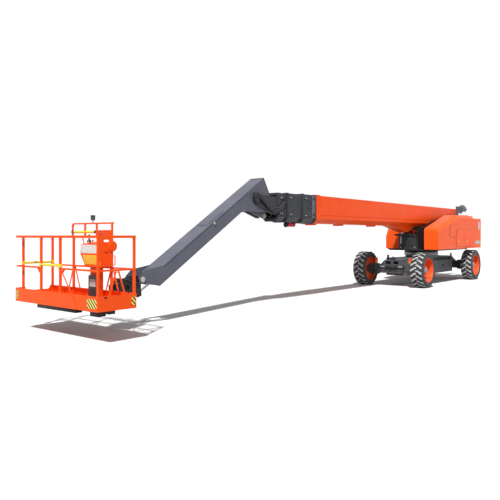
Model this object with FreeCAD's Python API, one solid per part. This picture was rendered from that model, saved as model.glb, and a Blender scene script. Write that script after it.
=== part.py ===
import FreeCAD, Part
import math
import os

# Telescopic boom lift. Millimetres, +X towards the work platform, +Y to the machine's left, +Z up.
# The sizes below are measured from the slew axis on the ground; export() moves the whole
# machine so that the origin is the middle of its length and width, on the ground.

# ---- Wheels and axles ----
WHEELBASE = 4700
TRACK = 2045
TYRE_DIAMETER = 1150
TYRE_WIDTH = 445
RIM_RADIUS = 396
RIM_WALL = 12
RIM_SHORT = 18
DISC_INSET = 77
HUB_RADIUS = 135
SPINDLE_RADIUS = 45
KINGPIN_RADIUS = 30
KINGPIN_INSET = 282
YOKE_WALL = 40
YOKE_RADIUS = 90
AXLE_HALF_X = 110
AXLE_HEIGHT = 280
AXLE_CROWN_Y = 260
AXLE_CROWN_RISE = 165
AXLE_SHOULDER_Y = 430
STEER_ARM = 230
ARM_WALL = 25
ARM_LIFT = 15
KNUCKLE_HALF_X = 70
KNUCKLE_HALF_Y = 62
MOTOR_RADIUS = 122
TIE_ROD_HALF = 18
BALL_PIN_RADIUS = 18
PIN_CLEARANCE = 0.05
RUNNING_GAP = 5

# ---- Chassis ----
FRAME_HALF_X = 1900
FRAME_HALF_Y = 470
FRAME_BOTTOM = 330
FRAME_TOP = 930
FRAME_WALL = 16
SIDE_HOLE_X = 900
SIDE_HOLE_Z = 600
SIDE_HOLE_RADIUS = 60
SLEW_RADIUS = 600
SLEW_BASE_TOP = 1010
SLEW_RING_TOP = 1090
SLEW_GAP = 0.3
SLEW_RING_WALL = 160
LASHING_EYE = 32
LASHING_Z = 975
LUG_WALL = 25
LUG_HALF = 65
LUG_INSET = 120
AXLE_SEAT_Y = 240

# ---- Turntable ----
DECK_BOTTOM = 1185
DECK_WALL = 40
DECK_FRONT = 1330
RISER_INNER_Y = 400
RISER_WALL = 25
RISER_REAR = -2960
RISER_SHOULDER_X = -240
RISER_SHOULDER_Z = 2290
RISER_FALL = 0.26
RIGHT_RISER_FRONT = 300
HALF_WIDTH = 1200
LEFT_HOOD_INNER_Y = 700
RIGHT_HOOD_INNER_Y = 500
HOOD_WALL = 15
HOOD_REAR = -2320
LEFT_HOOD_FRONT = 1440
RIGHT_HOOD_FRONT = 400
HOOD_TOP = 2480
TAIL_REAR = -3100
TANK_TOP = 1740
DOOR_GAP = 5
WEIGHT_TOP = 2360
WEIGHT_CORNER = 110
TAIL_SLOT_Y = 600
TAIL_SLOT_FLOOR = 1600
HOOD_BEVEL = 120
HOOD_NOSE_TOP = 1880
ENGINE_REAR = -1750
ENGINE_FRONT = -900
MOUNT_RISE = 60

# ---- Boom ----
BOOM_PIVOT_X = -2620
BOOM_PIVOT_Z = 2420
PIVOT_PIN_RADIUS = 60
BOOM_REAR = -3000
BASE_LENGTH = 10600
BOOM_WIDTH = 560
BOOM_TOP = 2770
BOOM_HEIGHT = 740
BOOM_BEVEL_Y = 110
BOOM_BEVEL_Z = 120
BOOM_WALL = 10
SECTION_GAP = 14
PAD_GAP = 0.3
SIDE_PLATE_WALL = 8
FRONT_BAND = 160
FRONT_BAND_WALL = 16
WEAR_PAD_LENGTH = 80
TAIL_PAD_LENGTH = 120
GUIDE_BLOCK_SETBACKS = (3610, 1600, 140)
COLLAR_LENGTH = 620
COLLAR_GAP = 40
HEAD_LENGTH = 330

# ---- Lift cylinder ----
LIFT_FOOT_X = -1900
LIFT_FOOT_Z = 1400
LIFT_EYE_X = 1600
LIFT_EYE_Z = 1950
LIFT_BARREL_RADIUS = 110
LIFT_ROD_RADIUS = 55
LIFT_CHEEK_Y = 120
LIFT_CHEEK_WALL = 30
LIFT_PIN_RADIUS = 40
EYE_CHEEK_Y = 120
EYE_CHEEK_DROP = 120
LIFT_BARREL_LENGTH = 2750

# ---- Jib ----
JIB_PIVOT_AHEAD = 820
JIB_PIVOT_Z = 2560
JIB_ANGLE = 31.4
JIB_WIDTH = 400
JIB_TOP = 274
JIB_BOTTOM = -16
JIB_WALL = 10
JIB_TUBE_END = 3460
ROOT_DEPTH = 290
ROOT_BACK = 530
ROOT_SLOT_Y = 70
LEVEL_PIN_ALONG = 3771
LEVEL_PIN_UP = 344

# ---- Platform ----
PLATFORM_WIDTH = 2440
PLATFORM_DEPTH = 754
FLOOR_BOTTOM = 537
RAIL_TOP = 1710
RAIL_HALF = 20


def vec(x, y, z):
    return FreeCAD.Vector(x, y, z)


def box(x0, x1, y0, y1, z0, z1):
    """Block between two corners."""
    return Part.makeBox(x1 - x0, y1 - y0, z1 - z0, vec(x0, y0, z0))


def rod(start, end, radius):
    """Round bar from one point to another."""
    a = vec(*start)
    b = vec(*end)
    return Part.makeCylinder(radius, (b - a).Length, a, b - a)


def pin_y(x, z, radius, y0, y1):
    """Round bar across the machine."""
    return rod((x, y0, z), (x, y1, z), radius)


def face_of(points):
    """Flat face from a list of corner points."""
    corners = [vec(*p) for p in points]
    return Part.Face(Part.makePolygon(corners + corners[:1]))


def plate_xz(points, y0, y1):
    """Plate with the given side outline, from y0 to y1."""
    return face_of([(x, y0, z) for x, z in points]).extrude(vec(0, y1 - y0, 0))


def plate_yz(points, x0, x1):
    """Plate with the given front outline, from x0 to x1."""
    return face_of([(x0, y, z) for y, z in points]).extrude(vec(x1 - x0, 0, 0))


def plate_xy(points, z0, z1):
    """Plate with the given plan outline, from z0 to z1."""
    return face_of([(x, y, z0) for x, y in points]).extrude(vec(0, 0, z1 - z0))


def join(shapes):
    """One solid from pieces that share faces or overlap."""
    whole = shapes[0].fuse(shapes[1:]) if len(shapes) > 1 else shapes[0]
    return whole.removeSplitter()


def both_sides(shape):
    """A piece and its mirror image across the machine's centre plane."""
    return [shape, shape.mirror(vec(0, 0, 0), vec(0, 1, 0))]


def mirrored(shape):
    return shape.mirror(vec(0, 0, 0), vec(0, 1, 0))


# ---- Places worked out from the sizes ----
AXLE_X = WHEELBASE / 2
AXLE_Z = TYRE_DIAMETER / 2
WHEEL_Y = TRACK / 2
KINGPIN_Y = WHEEL_Y - KINGPIN_INSET
DISC_Y = WHEEL_Y - DISC_INSET
DECK_TOP = DECK_BOTTOM + DECK_WALL
RISER_OUTER_Y = RISER_INNER_Y + RISER_WALL
BASE_FRONT = BOOM_REAR + BASE_LENGTH
COLLAR_STEP = COLLAR_LENGTH + COLLAR_GAP
HEAD_FRONT = BASE_FRONT + 2 * COLLAR_STEP + COLLAR_GAP + HEAD_LENGTH
JIB_PIVOT_X = HEAD_FRONT + JIB_PIVOT_AHEAD
BOOM_BOTTOM = BOOM_TOP - BOOM_HEIGHT


def along_jib(along, up):
    """Place in the side view, measured along and above the jib's own line from its pivot."""
    angle = math.radians(JIB_ANGLE)
    x = JIB_PIVOT_X + along * math.cos(angle) + up * math.sin(angle)
    z = JIB_PIVOT_Z - along * math.sin(angle) + up * math.cos(angle)
    return x, z


LEVEL_PIN_X, LEVEL_PIN_Z = along_jib(LEVEL_PIN_ALONG, LEVEL_PIN_UP)
ROTATOR_X = LEVEL_PIN_X + 470
PLATFORM_BACK = ROTATOR_X + 516
PLATFORM_FRONT = PLATFORM_BACK + PLATFORM_DEPTH
TAIL_BRACKET_REAR = BOOM_REAR - 450
ORIGIN_X = (PLATFORM_FRONT + TAIL_BRACKET_REAR) / 2


def export(node, shape):
    """One named piece, moved so that the origin is the middle of the machine."""
    placed = shape.copy()
    placed.translate(vec(-ORIGIN_X, 0, 0))
    placed.exportStep("parts/" + node + ".step")


def round_edges(shape, radius, wanted):
    """Fillet of the edges whose middle point passes the test."""
    edges = [e for e in shape.Edges if wanted(e)]
    return shape.makeFillet(radius, edges) if edges else shape


# ---- Chassis ----
def lashing_lug(x, y):
    """Upright plate with bevelled shoulders and an eye for a tie-down chain."""
    half = LUG_HALF
    bevel = LUG_HALF - 40
    top = LASHING_Z + half
    shoulder = LASHING_Z + bevel
    lug = plate_xz([(x - half, FRAME_TOP), (x + half, FRAME_TOP), (x + half, shoulder), (x + bevel, top),
                    (x - bevel, top), (x - half, shoulder)], y, y + LUG_WALL)
    return lug.cut(pin_y(x, LASHING_Z, LASHING_EYE, y, y + LUG_WALL))


def chassis_frame():
    shell = box(-FRAME_HALF_X, FRAME_HALF_X, -FRAME_HALF_Y, FRAME_HALF_Y, FRAME_BOTTOM, FRAME_TOP)
    wall = FRAME_WALL
    hollow = box(-FRAME_HALF_X + wall, FRAME_HALF_X - wall, -FRAME_HALF_Y + wall, FRAME_HALF_Y - wall,
                 FRAME_BOTTOM + wall, FRAME_TOP - wall)
    frame = shell.cut(hollow)
    cross_y = FRAME_HALF_Y + 10
    frame = frame.cut(pin_y(-SIDE_HOLE_X, SIDE_HOLE_Z, SIDE_HOLE_RADIUS, -cross_y, cross_y))
    pedestal = rod((0, 0, FRAME_TOP - wall), (0, 0, SLEW_BASE_TOP), SLEW_RADIUS - 40)
    pieces = [frame, pedestal]
    for end in (-1, 1):
        x0 = min(end * (FRAME_HALF_X - wall), end * (AXLE_X - AXLE_HALF_X))
        x1 = max(end * (FRAME_HALF_X - wall), end * (AXLE_X - AXLE_HALF_X))
        pieces.append(box(x0, x1, -AXLE_SEAT_Y, AXLE_SEAT_Y, AXLE_Z - 15, FRAME_TOP - 50))
    frame = join(pieces)
    for x in (-FRAME_HALF_X + LUG_INSET, FRAME_HALF_X - LUG_INSET):
        for y in (-FRAME_HALF_Y, FRAME_HALF_Y - LUG_WALL):
            frame = frame.fuse(lashing_lug(x, y))
    return frame.removeSplitter()


def axle(side):
    """Axle beam with a forked end for each kingpin; side is +1 at the front, -1 at the rear."""
    x = side * AXLE_X
    low = AXLE_Z - AXLE_HEIGHT / 2
    high = AXLE_Z + AXLE_HEIGHT / 2
    beam_end = KINGPIN_Y - YOKE_RADIUS - 10
    crown = high + AXLE_CROWN_RISE
    beam = plate_yz([(-beam_end, low), (beam_end, low), (beam_end, high), (AXLE_SHOULDER_Y, high),
                     (AXLE_CROWN_Y, crown), (-AXLE_CROWN_Y, crown), (-AXLE_SHOULDER_Y, high),
                     (-beam_end, high)], x - AXLE_HALF_X, x + AXLE_HALF_X)
    for y in (-AXLE_CROWN_Y + 30, 40):
        window = box(x - AXLE_HALF_X, x + AXLE_HALF_X, y, y + AXLE_CROWN_Y - 70, high + 25, crown - 40)
        beam = beam.cut(window)
    pieces = [beam]
    for y in (-KINGPIN_Y, KINGPIN_Y):
        inner = math.copysign(beam_end - 110, y)
        for z in (low - YOKE_WALL, high):
            outer = y + math.copysign(YOKE_RADIUS, y)
            shoulder = y + math.copysign(YOKE_RADIUS / 3, y)
            half = YOKE_RADIUS
            pieces.append(plate_xy([(x - half, inner), (x - half, shoulder), (x - half / 2, outer),
                                    (x + half / 2, outer), (x + half, shoulder), (x + half, inner)],
                                   z, z + YOKE_WALL))
    whole = join(pieces)
    for y in (-KINGPIN_Y, KINGPIN_Y):
        whole = whole.cut(rod((x, y, low - 90), (x, y, high + 90), KINGPIN_RADIUS + PIN_CLEARANCE))
    return whole


def knuckle(end, side):
    """Steering knuckle; end is +1 front or -1 rear, side is +1 left or -1 right."""
    x = end * AXLE_X
    y = side * KINGPIN_Y
    low = AXLE_Z - AXLE_HEIGHT / 2 + RUNNING_GAP
    high = AXLE_Z + AXLE_HEIGHT / 2 - RUNNING_GAP
    body = box(x - KNUCKLE_HALF_X, x + KNUCKLE_HALF_X, y - KNUCKLE_HALF_Y, y + KNUCKLE_HALF_Y, low, high)
    kingpin = rod((x, y, low - YOKE_WALL - 15), (x, y, high + YOKE_WALL + 15), KINGPIN_RADIUS)
    motor = rod((x, y, AXLE_Z), (x, side * (DISC_Y - 23), AXLE_Z), MOTOR_RADIUS)
    spindle = rod((x, y, AXLE_Z), (x, side * (DISC_Y + 40), AXLE_Z), SPINDLE_RADIUS)
    arm_low = low + ARM_LIFT
    arm_x = x + end * STEER_ARM
    arm = box(min(x, arm_x), max(x, arm_x), y - 35, y + 35, arm_low, arm_low + ARM_WALL)
    boss = box(arm_x - 40, arm_x + 40, y - 40, y + 40, arm_low, arm_low + ARM_WALL)
    ball_pin = rod((arm_x, y, arm_low), (arm_x, y, arm_low + 72), BALL_PIN_RADIUS)
    return join([body, kingpin, motor, spindle, arm, boss, ball_pin])


def tie_rod(end):
    """Track rod between the two steering arms of one axle."""
    x = end * (AXLE_X + STEER_ARM)
    low = AXLE_Z - AXLE_HEIGHT / 2 + RUNNING_GAP + ARM_LIFT + ARM_WALL + 4
    middle = low + TIE_ROD_HALF + 2
    bar = box(x - TIE_ROD_HALF, x + TIE_ROD_HALF, -KINGPIN_Y, KINGPIN_Y,
              middle - TIE_ROD_HALF, middle + TIE_ROD_HALF)
    pieces = [bar]
    for y in (-KINGPIN_Y, KINGPIN_Y):
        pieces.append(box(x - 36, x + 36, y - 42, y + 42, low, low + 40))
    whole = join(pieces)
    for y in (-KINGPIN_Y, KINGPIN_Y):
        whole = whole.cut(rod((x, y, low - 10), (x, y, low + 60), BALL_PIN_RADIUS + PIN_CLEARANCE))
    return whole


def turned(points, x, z):
    """Ring turned about a wheel's axle from (radius, y) points."""
    outline = face_of([(x + r, y, z) for r, y in points])
    return outline.revolve(vec(x, 0, z), vec(0, 1, 0), 360)


def wheel_rim(end, side):
    half = TYRE_WIDTH / 2 - RIM_SHORT
    inner = RIM_RADIUS - RIM_WALL
    disc = -DISC_INSET
    hub_face = disc + 70
    points = [(inner, -half), (RIM_RADIUS, -half), (RIM_RADIUS, half), (inner, half), (inner, disc + 45),
              (inner - 35, disc + 8), (HUB_RADIUS, disc + 8), (HUB_RADIUS, hub_face), (0, hub_face),
              (0, disc + 50), (SPINDLE_RADIUS + PIN_CLEARANCE, disc + 50),
              (SPINDLE_RADIUS + PIN_CLEARANCE, disc - 8), (inner, disc - 8)]
    rim = turned([(r, side * (WHEEL_Y + y)) for r, y in points], end * AXLE_X, AXLE_Z)
    return rim


def wheel_tyre(end, side):
    half = TYRE_WIDTH / 2
    crown = TYRE_DIAMETER / 2
    points = [(RIM_RADIUS, -half + RIM_SHORT), (RIM_RADIUS + 75, -half), (crown - 22, -half + 8),
              (crown, -half + 60)]
    points = points + [(r, -y) for r, y in reversed(points)]
    return turned([(r, side * (WHEEL_Y + y)) for r, y in points], end * AXLE_X, AXLE_Z)


# ---- Turntable ----
def slew_ring():
    base = rod((0, 0, SLEW_BASE_TOP), (0, 0, SLEW_RING_TOP), SLEW_RADIUS)
    return base.cut(rod((0, 0, SLEW_BASE_TOP - 5), (0, 0, SLEW_RING_TOP + 5), SLEW_RADIUS - 160))


def riser(front):
    """Left side plate that carries the boom pivot and runs down to the deck and forward to its nose."""
    nose_top = RISER_SHOULDER_Z - (front - RISER_SHOULDER_X) * RISER_FALL
    outline = [(RISER_REAR, DECK_TOP), (front, DECK_TOP), (front, nose_top),
               (RISER_SHOULDER_X, RISER_SHOULDER_Z), (BOOM_PIVOT_X + 60, BOOM_PIVOT_Z + 160),
               (BOOM_PIVOT_X - 160, BOOM_PIVOT_Z + 60), (RISER_REAR, 1950)]
    plate = plate_xz(outline, RISER_INNER_Y, RISER_OUTER_Y)
    eye = pin_y(BOOM_PIVOT_X, BOOM_PIVOT_Z, 170, RISER_INNER_Y, RISER_OUTER_Y)
    hole = pin_y(BOOM_PIVOT_X, BOOM_PIVOT_Z, PIVOT_PIN_RADIUS + PIN_CLEARANCE, 0, HALF_WIDTH)
    return plate.fuse(eye).cut(hole)


def turntable_frame():
    ring = rod((0, 0, SLEW_RING_TOP + SLEW_GAP), (0, 0, DECK_BOTTOM), SLEW_RADIUS - 10)
    ring = ring.cut(rod((0, 0, SLEW_RING_TOP), (0, 0, DECK_BOTTOM), SLEW_RADIUS - 150))
    deck = plate_xy([(-2300, -620), (-450, -620), (-450, -1150), (RIGHT_HOOD_FRONT - 40, -1150),
                     (RIGHT_HOOD_FRONT - 40, -620), (DECK_FRONT, -620), (DECK_FRONT, 1150), (-450, 1150),
                     (-450, 1060), (-1800, 1060), (-1800, 620), (-2300, 620)], DECK_BOTTOM, DECK_TOP)
    pieces = [ring, deck, riser(DECK_FRONT), mirrored(riser(RIGHT_RISER_FRONT))]
    for plate_y in (LIFT_CHEEK_Y, -LIFT_CHEEK_Y - LIFT_CHEEK_WALL):
        cheek = plate_xz([(LIFT_FOOT_X - 180, DECK_TOP), (LIFT_FOOT_X + 260, DECK_TOP),
                          (LIFT_FOOT_X + 60, LIFT_FOOT_Z + 60), (LIFT_FOOT_X - 60, LIFT_FOOT_Z + 60)],
                         plate_y, plate_y + LIFT_CHEEK_WALL)
        cheek = cheek.fuse(pin_y(LIFT_FOOT_X, LIFT_FOOT_Z, 85, plate_y, plate_y + LIFT_CHEEK_WALL))
        pieces.append(cheek.cut(pin_y(LIFT_FOOT_X, LIFT_FOOT_Z, LIFT_PIN_RADIUS + PIN_CLEARANCE, -200, 200)))
    return join(pieces)


def turntable_pins():
    """Boom pivot pin and the pin in the lift cylinder's foot."""
    y = RISER_OUTER_Y
    main = pin_y(BOOM_PIVOT_X, BOOM_PIVOT_Z, PIVOT_PIN_RADIUS, -y - 15, y + 15)
    foot_y = LIFT_CHEEK_Y + LIFT_CHEEK_WALL + 10
    foot = pin_y(LIFT_FOOT_X, LIFT_FOOT_Z, LIFT_PIN_RADIUS, -foot_y, foot_y)
    return Part.makeCompound([main, foot])


def counterweight():
    body = box(TAIL_REAR, HOOD_REAR - DOOR_GAP, -HALF_WIDTH, HALF_WIDTH, DECK_TOP + 5, WEIGHT_TOP)
    body = body.cut(box(TAIL_REAR - 5, HOOD_REAR, -TAIL_SLOT_Y, TAIL_SLOT_Y, TAIL_SLOT_FLOOR, WEIGHT_TOP + 40))
    for side in (-1, 1):
        y0 = min(side * RISER_INNER_Y, side * RISER_OUTER_Y)
        body = body.cut(box(RISER_REAR, HOOD_REAR, y0, y0 + RISER_WALL, DECK_TOP, WEIGHT_TOP + 40))
        pocket_y = min(side * 680, side * 1120)
        body = body.cut(box(TAIL_REAR + 100, HOOD_REAR, pocket_y, pocket_y + 440, 1750, 2280))

    def rear_corner(edge):
        middle = edge.CenterOfMass
        return middle.x < TAIL_REAR + 1 and abs(middle.y) > HALF_WIDTH - 1 and edge.Length > 500

    return round_edges(body, WEIGHT_CORNER, rear_corner)


def engine():
    inner = LEFT_HOOD_INNER_Y + HOOD_WALL + 20
    low = DECK_TOP + MOUNT_RISE
    block = box(ENGINE_REAR, ENGINE_FRONT, inner, inner + 415, low, low + 580)
    foot = box(ENGINE_REAR + 100, ENGINE_FRONT - 100, inner + 30, inner + 310, DECK_TOP, low)
    return join([block, foot])


def hydraulic_tank():
    tank = box(880, DECK_FRONT - 30, -300, RISER_INNER_Y - 10, DECK_TOP, TANK_TOP)

    def upright(edge):
        return edge.Length > 500 and abs(edge.CenterOfMass.z - (DECK_TOP + TANK_TOP) / 2) < 1

    return round_edges(tank, 60, upright)


def hood_outline(front, low_nose):
    """Side outline of a hood, from its nose over the sloping top to the tail."""
    if low_nose:
        nose = [(front, DECK_TOP), (front, HOOD_NOSE_TOP), (front - 60, HOOD_NOSE_TOP + 80)]
    else:
        nose = [(front, DECK_TOP), (front, HOOD_NOSE_TOP + 20), (front - 100, HOOD_NOSE_TOP + 200)]
    return nose + [(-410, 2450), (-1780, HOOD_TOP), (HOOD_REAR, HOOD_TOP - 50), (HOOD_REAR, DECK_TOP)]


def hood_block(outline, inner_y, inset):
    """Solid hood form inside the given inset, with its outer top edge bevelled."""
    corners = [vec(x, 0, z) for x, z in outline]
    wire = Part.makePolygon(corners + corners[:1])
    if inset:
        wire = wire.makeOffset2D(-inset, 2)
    face = Part.Face(wire)
    face.translate(vec(0, inner_y + inset, 0))
    block = face.extrude(vec(0, HALF_WIDTH - inner_y - 2 * inset, 0))

    def bevelled(edge):
        middle = edge.CenterOfMass
        ends = [v.Point for v in edge.Vertexes]
        outer = all(p.y > HALF_WIDTH - inset - 1 for p in ends)
        return outer and middle.z > 1940 and abs(ends[0].x - ends[1].x) > 50

    edges = [e for e in block.Edges if bevelled(e)]
    return block.makeChamfer(HOOD_BEVEL, edges)


def hood(front, inner_y, low_nose):
    """Hood shell, open below."""
    outline = hood_outline(front, low_nose)
    shell = hood_block(outline, inner_y, 0).cut(hood_block(outline, inner_y, HOOD_WALL))
    return shell.cut(box(HOOD_REAR + HOOD_WALL, front - HOOD_WALL, inner_y + HOOD_WALL,
                         HALF_WIDTH - HOOD_WALL, DECK_TOP - 10, DECK_TOP + HOOD_WALL + 5))


DOOR_PLACES = {"front_door": (-1080, -260), "rear_door": (-2180, -1100)}
DOOR_LOW = 1300
DOOR_HIGH = 1930
DOOR_WALL = 12
DOOR_LAP = 25


def cut_doorways(shell):
    for x0, x1 in DOOR_PLACES.values():
        opening = box(x0 + DOOR_LAP, x1 - DOOR_LAP, HALF_WIDTH - HOOD_WALL - 5, HALF_WIDTH + 5,
                      DOOR_LOW + DOOR_LAP, DOOR_HIGH - DOOR_LAP)
        shell = shell.cut(opening)
    return shell


def hood_door(place):
    x0, x1 = DOOR_PLACES[place]
    y0 = HALF_WIDTH + PAD_GAP
    return box(x0, x1, y0, y0 + DOOR_WALL, DOOR_LOW, DOOR_HIGH)


PANEL = (-110, 360, 1670, 2070)
PANEL_LAP = 12


def ground_control_box():
    x0, x1, z0, z1 = PANEL
    y = HALF_WIDTH - HOOD_WALL
    lap = PANEL_LAP
    tray = box(x0 - lap, x1 + lap, y - 70, y, z0 - lap, z1 + lap)
    tray = tray.cut(box(x0, x1, y - 60, y + 5, z0, z1))
    switches = [box(x, x + 40, y - 60, y - 35, z0 + 120, z0 + 160) for x in range(x0 + 80, x1 - 80, 90)]
    return join([tray] + switches)


def ground_control_lid():
    """Flat lid over the ground controls, hinged along its top edge."""
    x0, x1, z0, z1 = PANEL
    y = HALF_WIDTH + PAD_GAP
    return box(x0 - PANEL_LAP, x1 + PANEL_LAP, y, y + DOOR_WALL, z0 - PANEL_LAP, z1 + PANEL_LAP)


# ---- Boom ----
def boom_face(inset, x):
    """Cross-section of the boom, drawn in from its outer faces by the inset."""
    half = BOOM_WIDTH / 2
    low = BOOM_BOTTOM
    points = [(half, BOOM_TOP), (-half, BOOM_TOP), (-half, low + BOOM_BEVEL_Z), (-half + BOOM_BEVEL_Y, low),
              (half - BOOM_BEVEL_Y, low), (half, low + BOOM_BEVEL_Z)]
    corners = [vec(x, y, z) for y, z in points]
    wire = Part.makePolygon(corners + corners[:1])
    if inset:
        wire = wire.makeOffset2D(-inset, 2)
    return Part.Face(wire)


def boom_bar(inset, x0, x1):
    return boom_face(inset, x0).extrude(vec(x1 - x0, 0, 0))


def boom_tube(outer, inner, x0, x1):
    return boom_bar(outer, x0, x1).cut(boom_bar(inner, x0 - 5, x1 + 5))


SECTION_STEP = BOOM_WALL + SECTION_GAP


def boom_base():
    pieces = [boom_tube(0, BOOM_WALL, BOOM_REAR, BASE_FRONT)]
    pieces.append(boom_tube(-FRONT_BAND_WALL, 0, BASE_FRONT - FRONT_BAND, BASE_FRONT))
    pieces.append(boom_tube(BOOM_WALL, SECTION_STEP - PAD_GAP, BASE_FRONT - WEAR_PAD_LENGTH, BASE_FRONT))
    side_low = BOOM_BOTTOM + 230
    half = BOOM_WIDTH / 2
    pieces += both_sides(box(BOOM_REAR + 60, BASE_FRONT - FRONT_BAND, half, half + SIDE_PLATE_WALL,
                             side_low, BOOM_TOP - SIDE_PLATE_WALL))
    pieces += both_sides(pin_y(BOOM_PIVOT_X, BOOM_PIVOT_Z, 110, half - 5, RISER_INNER_Y - RUNNING_GAP))
    for x in [BASE_FRONT - setback for setback in GUIDE_BLOCK_SETBACKS]:
        pieces.append(box(x - 90, x + 90, -120, 120, BOOM_BOTTOM - 45, BOOM_BOTTOM + 2))
    low = LIFT_EYE_Z - EYE_CHEEK_DROP
    outer = EYE_CHEEK_Y + LIFT_CHEEK_WALL
    cheek = plate_xz([(LIFT_EYE_X - 700, BOOM_BOTTOM + 5), (LIFT_EYE_X - 110, low),
                      (LIFT_EYE_X + 110, low), (LIFT_EYE_X + 1300, BOOM_BOTTOM + 5)], EYE_CHEEK_Y, outer)
    cheek = cheek.fuse(pin_y(LIFT_EYE_X, LIFT_EYE_Z, 60, outer, outer + 18))
    pieces += both_sides(cheek)
    nose = plate_xz([(LIFT_EYE_X + 500, BOOM_BOTTOM + 5), (LIFT_EYE_X + 250, low + 40),
                     (LIFT_EYE_X + 265, low + 40), (LIFT_EYE_X + 1285, BOOM_BOTTOM + 5)],
                    -EYE_CHEEK_Y - 5, EYE_CHEEK_Y + 5)
    pieces.append(nose)
    base = join(pieces)
    return base.cut(pin_y(BOOM_PIVOT_X, BOOM_PIVOT_Z, PIVOT_PIN_RADIUS + PIN_CLEARANCE, -500, 500))


def boom_section(number):
    """Sliding tube inside the base: 1 is the widest. Its front carries a collar outside the tube before."""
    outer = number * SECTION_STEP
    inner = outer + BOOM_WALL
    tail = BOOM_REAR + 550 + 100 * number
    collar = BASE_FRONT + COLLAR_GAP + (number - 1) * COLLAR_STEP
    front = collar + COLLAR_LENGTH
    collar_inset = 14 * (number - 1)
    pieces = [boom_tube(outer, inner, tail, front)]
    pieces.append(boom_tube(outer - SECTION_GAP + PAD_GAP, outer, tail, tail + TAIL_PAD_LENGTH))
    pieces.append(boom_tube(collar_inset, outer, collar, front))
    pieces.append(boom_tube(inner, outer + SECTION_STEP - PAD_GAP, front - WEAR_PAD_LENGTH, front))
    return join(pieces)


HEAD_ARM_Y = JIB_WIDTH / 2 + 8
HEAD_ARM_WALL = 30
JIB_PIN_RADIUS = 40
SMALL_PIN_RADIUS = 30
LEVEL_FOOT_PIN = 20
JIB_EYE_X = JIB_PIVOT_X - 450
JIB_EYE_Z = JIB_PIVOT_Z - 380
JIB_FOOT_X = JIB_PIVOT_X - 2100
JIB_FOOT_Z = JIB_EYE_Z + 150


def boom_head():
    """Innermost tube with the fork that holds the jib."""
    outer = 3 * SECTION_STEP
    inner = outer + BOOM_WALL
    tail = BOOM_REAR + 850
    collar = HEAD_FRONT - HEAD_LENGTH
    pieces = [boom_tube(outer, inner, tail, HEAD_FRONT)]
    pieces.append(boom_tube(outer - SECTION_GAP + PAD_GAP, outer, tail, tail + TAIL_PAD_LENGTH))
    pieces.append(boom_tube(32, outer, collar, HEAD_FRONT))
    arm = plate_xz([(collar + 40, BOOM_TOP - 120), (HEAD_FRONT + 150, BOOM_TOP - 130),
                    (JIB_PIVOT_X - 20, JIB_PIVOT_Z + 115), (JIB_PIVOT_X + 90, JIB_PIVOT_Z + 40),
                    (JIB_PIVOT_X + 60, JIB_PIVOT_Z - 100), (HEAD_FRONT + 250, BOOM_BOTTOM + 200),
                    (collar + 40, BOOM_BOTTOM + 130)], HEAD_ARM_Y, HEAD_ARM_Y + HEAD_ARM_WALL)
    arm = arm.fuse(pin_y(JIB_PIVOT_X, JIB_PIVOT_Z, 115, HEAD_ARM_Y, HEAD_ARM_Y + HEAD_ARM_WALL))
    pieces += both_sides(arm)
    foot = box(JIB_FOOT_X - 80, JIB_FOOT_X + 80, 60, 85, BOOM_BOTTOM + inner - 2, JIB_FOOT_Z + 60)
    pieces += both_sides(foot)
    head = join(pieces)
    head = head.cut(pin_y(JIB_PIVOT_X, JIB_PIVOT_Z, JIB_PIN_RADIUS + PIN_CLEARANCE, -400, 400))
    return head.cut(pin_y(JIB_FOOT_X, JIB_FOOT_Z, SMALL_PIN_RADIUS + PIN_CLEARANCE, -110, 110))


def boom_pins():
    """Pin through the jib's root and the pin in the jib cylinder's foot."""
    y = HEAD_ARM_Y + HEAD_ARM_WALL
    jib_pin = pin_y(JIB_PIVOT_X, JIB_PIVOT_Z, JIB_PIN_RADIUS, -y - 12, y + 12)
    foot_pin = pin_y(JIB_FOOT_X, JIB_FOOT_Z, SMALL_PIN_RADIUS, -90, 90)
    return Part.makeCompound([jib_pin, foot_pin])


def boom_tail_bracket():
    """Cast block beside the boom's rear end, with a wider rear part and a hose hook."""
    side = BOOM_WIDTH / 2 + SIDE_PLATE_WALL
    narrow = box(BOOM_REAR - 250, BOOM_REAR + 200, side, RISER_INNER_Y - 10, 2600, 2880)
    wide = box(TAIL_BRACKET_REAR, BOOM_REAR - 90, side, 480, 2680, 2890)

    def upper(edge):
        return edge.CenterOfMass.z > 2889 and abs(edge.CenterOfMass.y - side) > 1

    hook = plate_yz([(470, 2700), (540, 2715), (580, 2790), (565, 2805), (525, 2740), (470, 2730)],
                    BOOM_REAR - 300, BOOM_REAR - 260)
    return join([narrow, round_edges(wide, 40, upper), hook])


# ---- Cylinders ----
def leaning_block(place, line, before, after, half_y, half_up):
    """Block at a place in the side view, square to a cylinder's line."""
    block = box(place.x - before, place.x + after, -half_y, half_y, place.z - half_up, place.z + half_up)
    angle = -math.degrees(math.atan2(line.z, line.x))
    block.rotate(place, vec(0, 1, 0), angle)
    return block


def cylinder_barrel(foot, eye, length, outer, bore, foot_radius, foot_half, foot_pin):
    """Tube from the foot pin towards the eye, open at its gland end for the rod."""
    a = vec(foot[0], 0, foot[1])
    b = vec(eye[0], 0, eye[1])
    line = (b - a).normalize()
    end = a + line * length
    tube = rod(tuple(a + line * foot_radius), tuple(end), outer)
    hole = rod(tuple(a + line * (foot_radius + 30)), tuple(end + line * 10), bore)
    block = leaning_block(a, line, foot_radius, foot_radius + 5, foot_half, foot_radius)
    whole = tube.fuse(block).cut(hole)
    return whole.cut(pin_y(a.x, a.z, foot_pin + PIN_CLEARANCE, -outer - 10, outer + 10))


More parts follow.
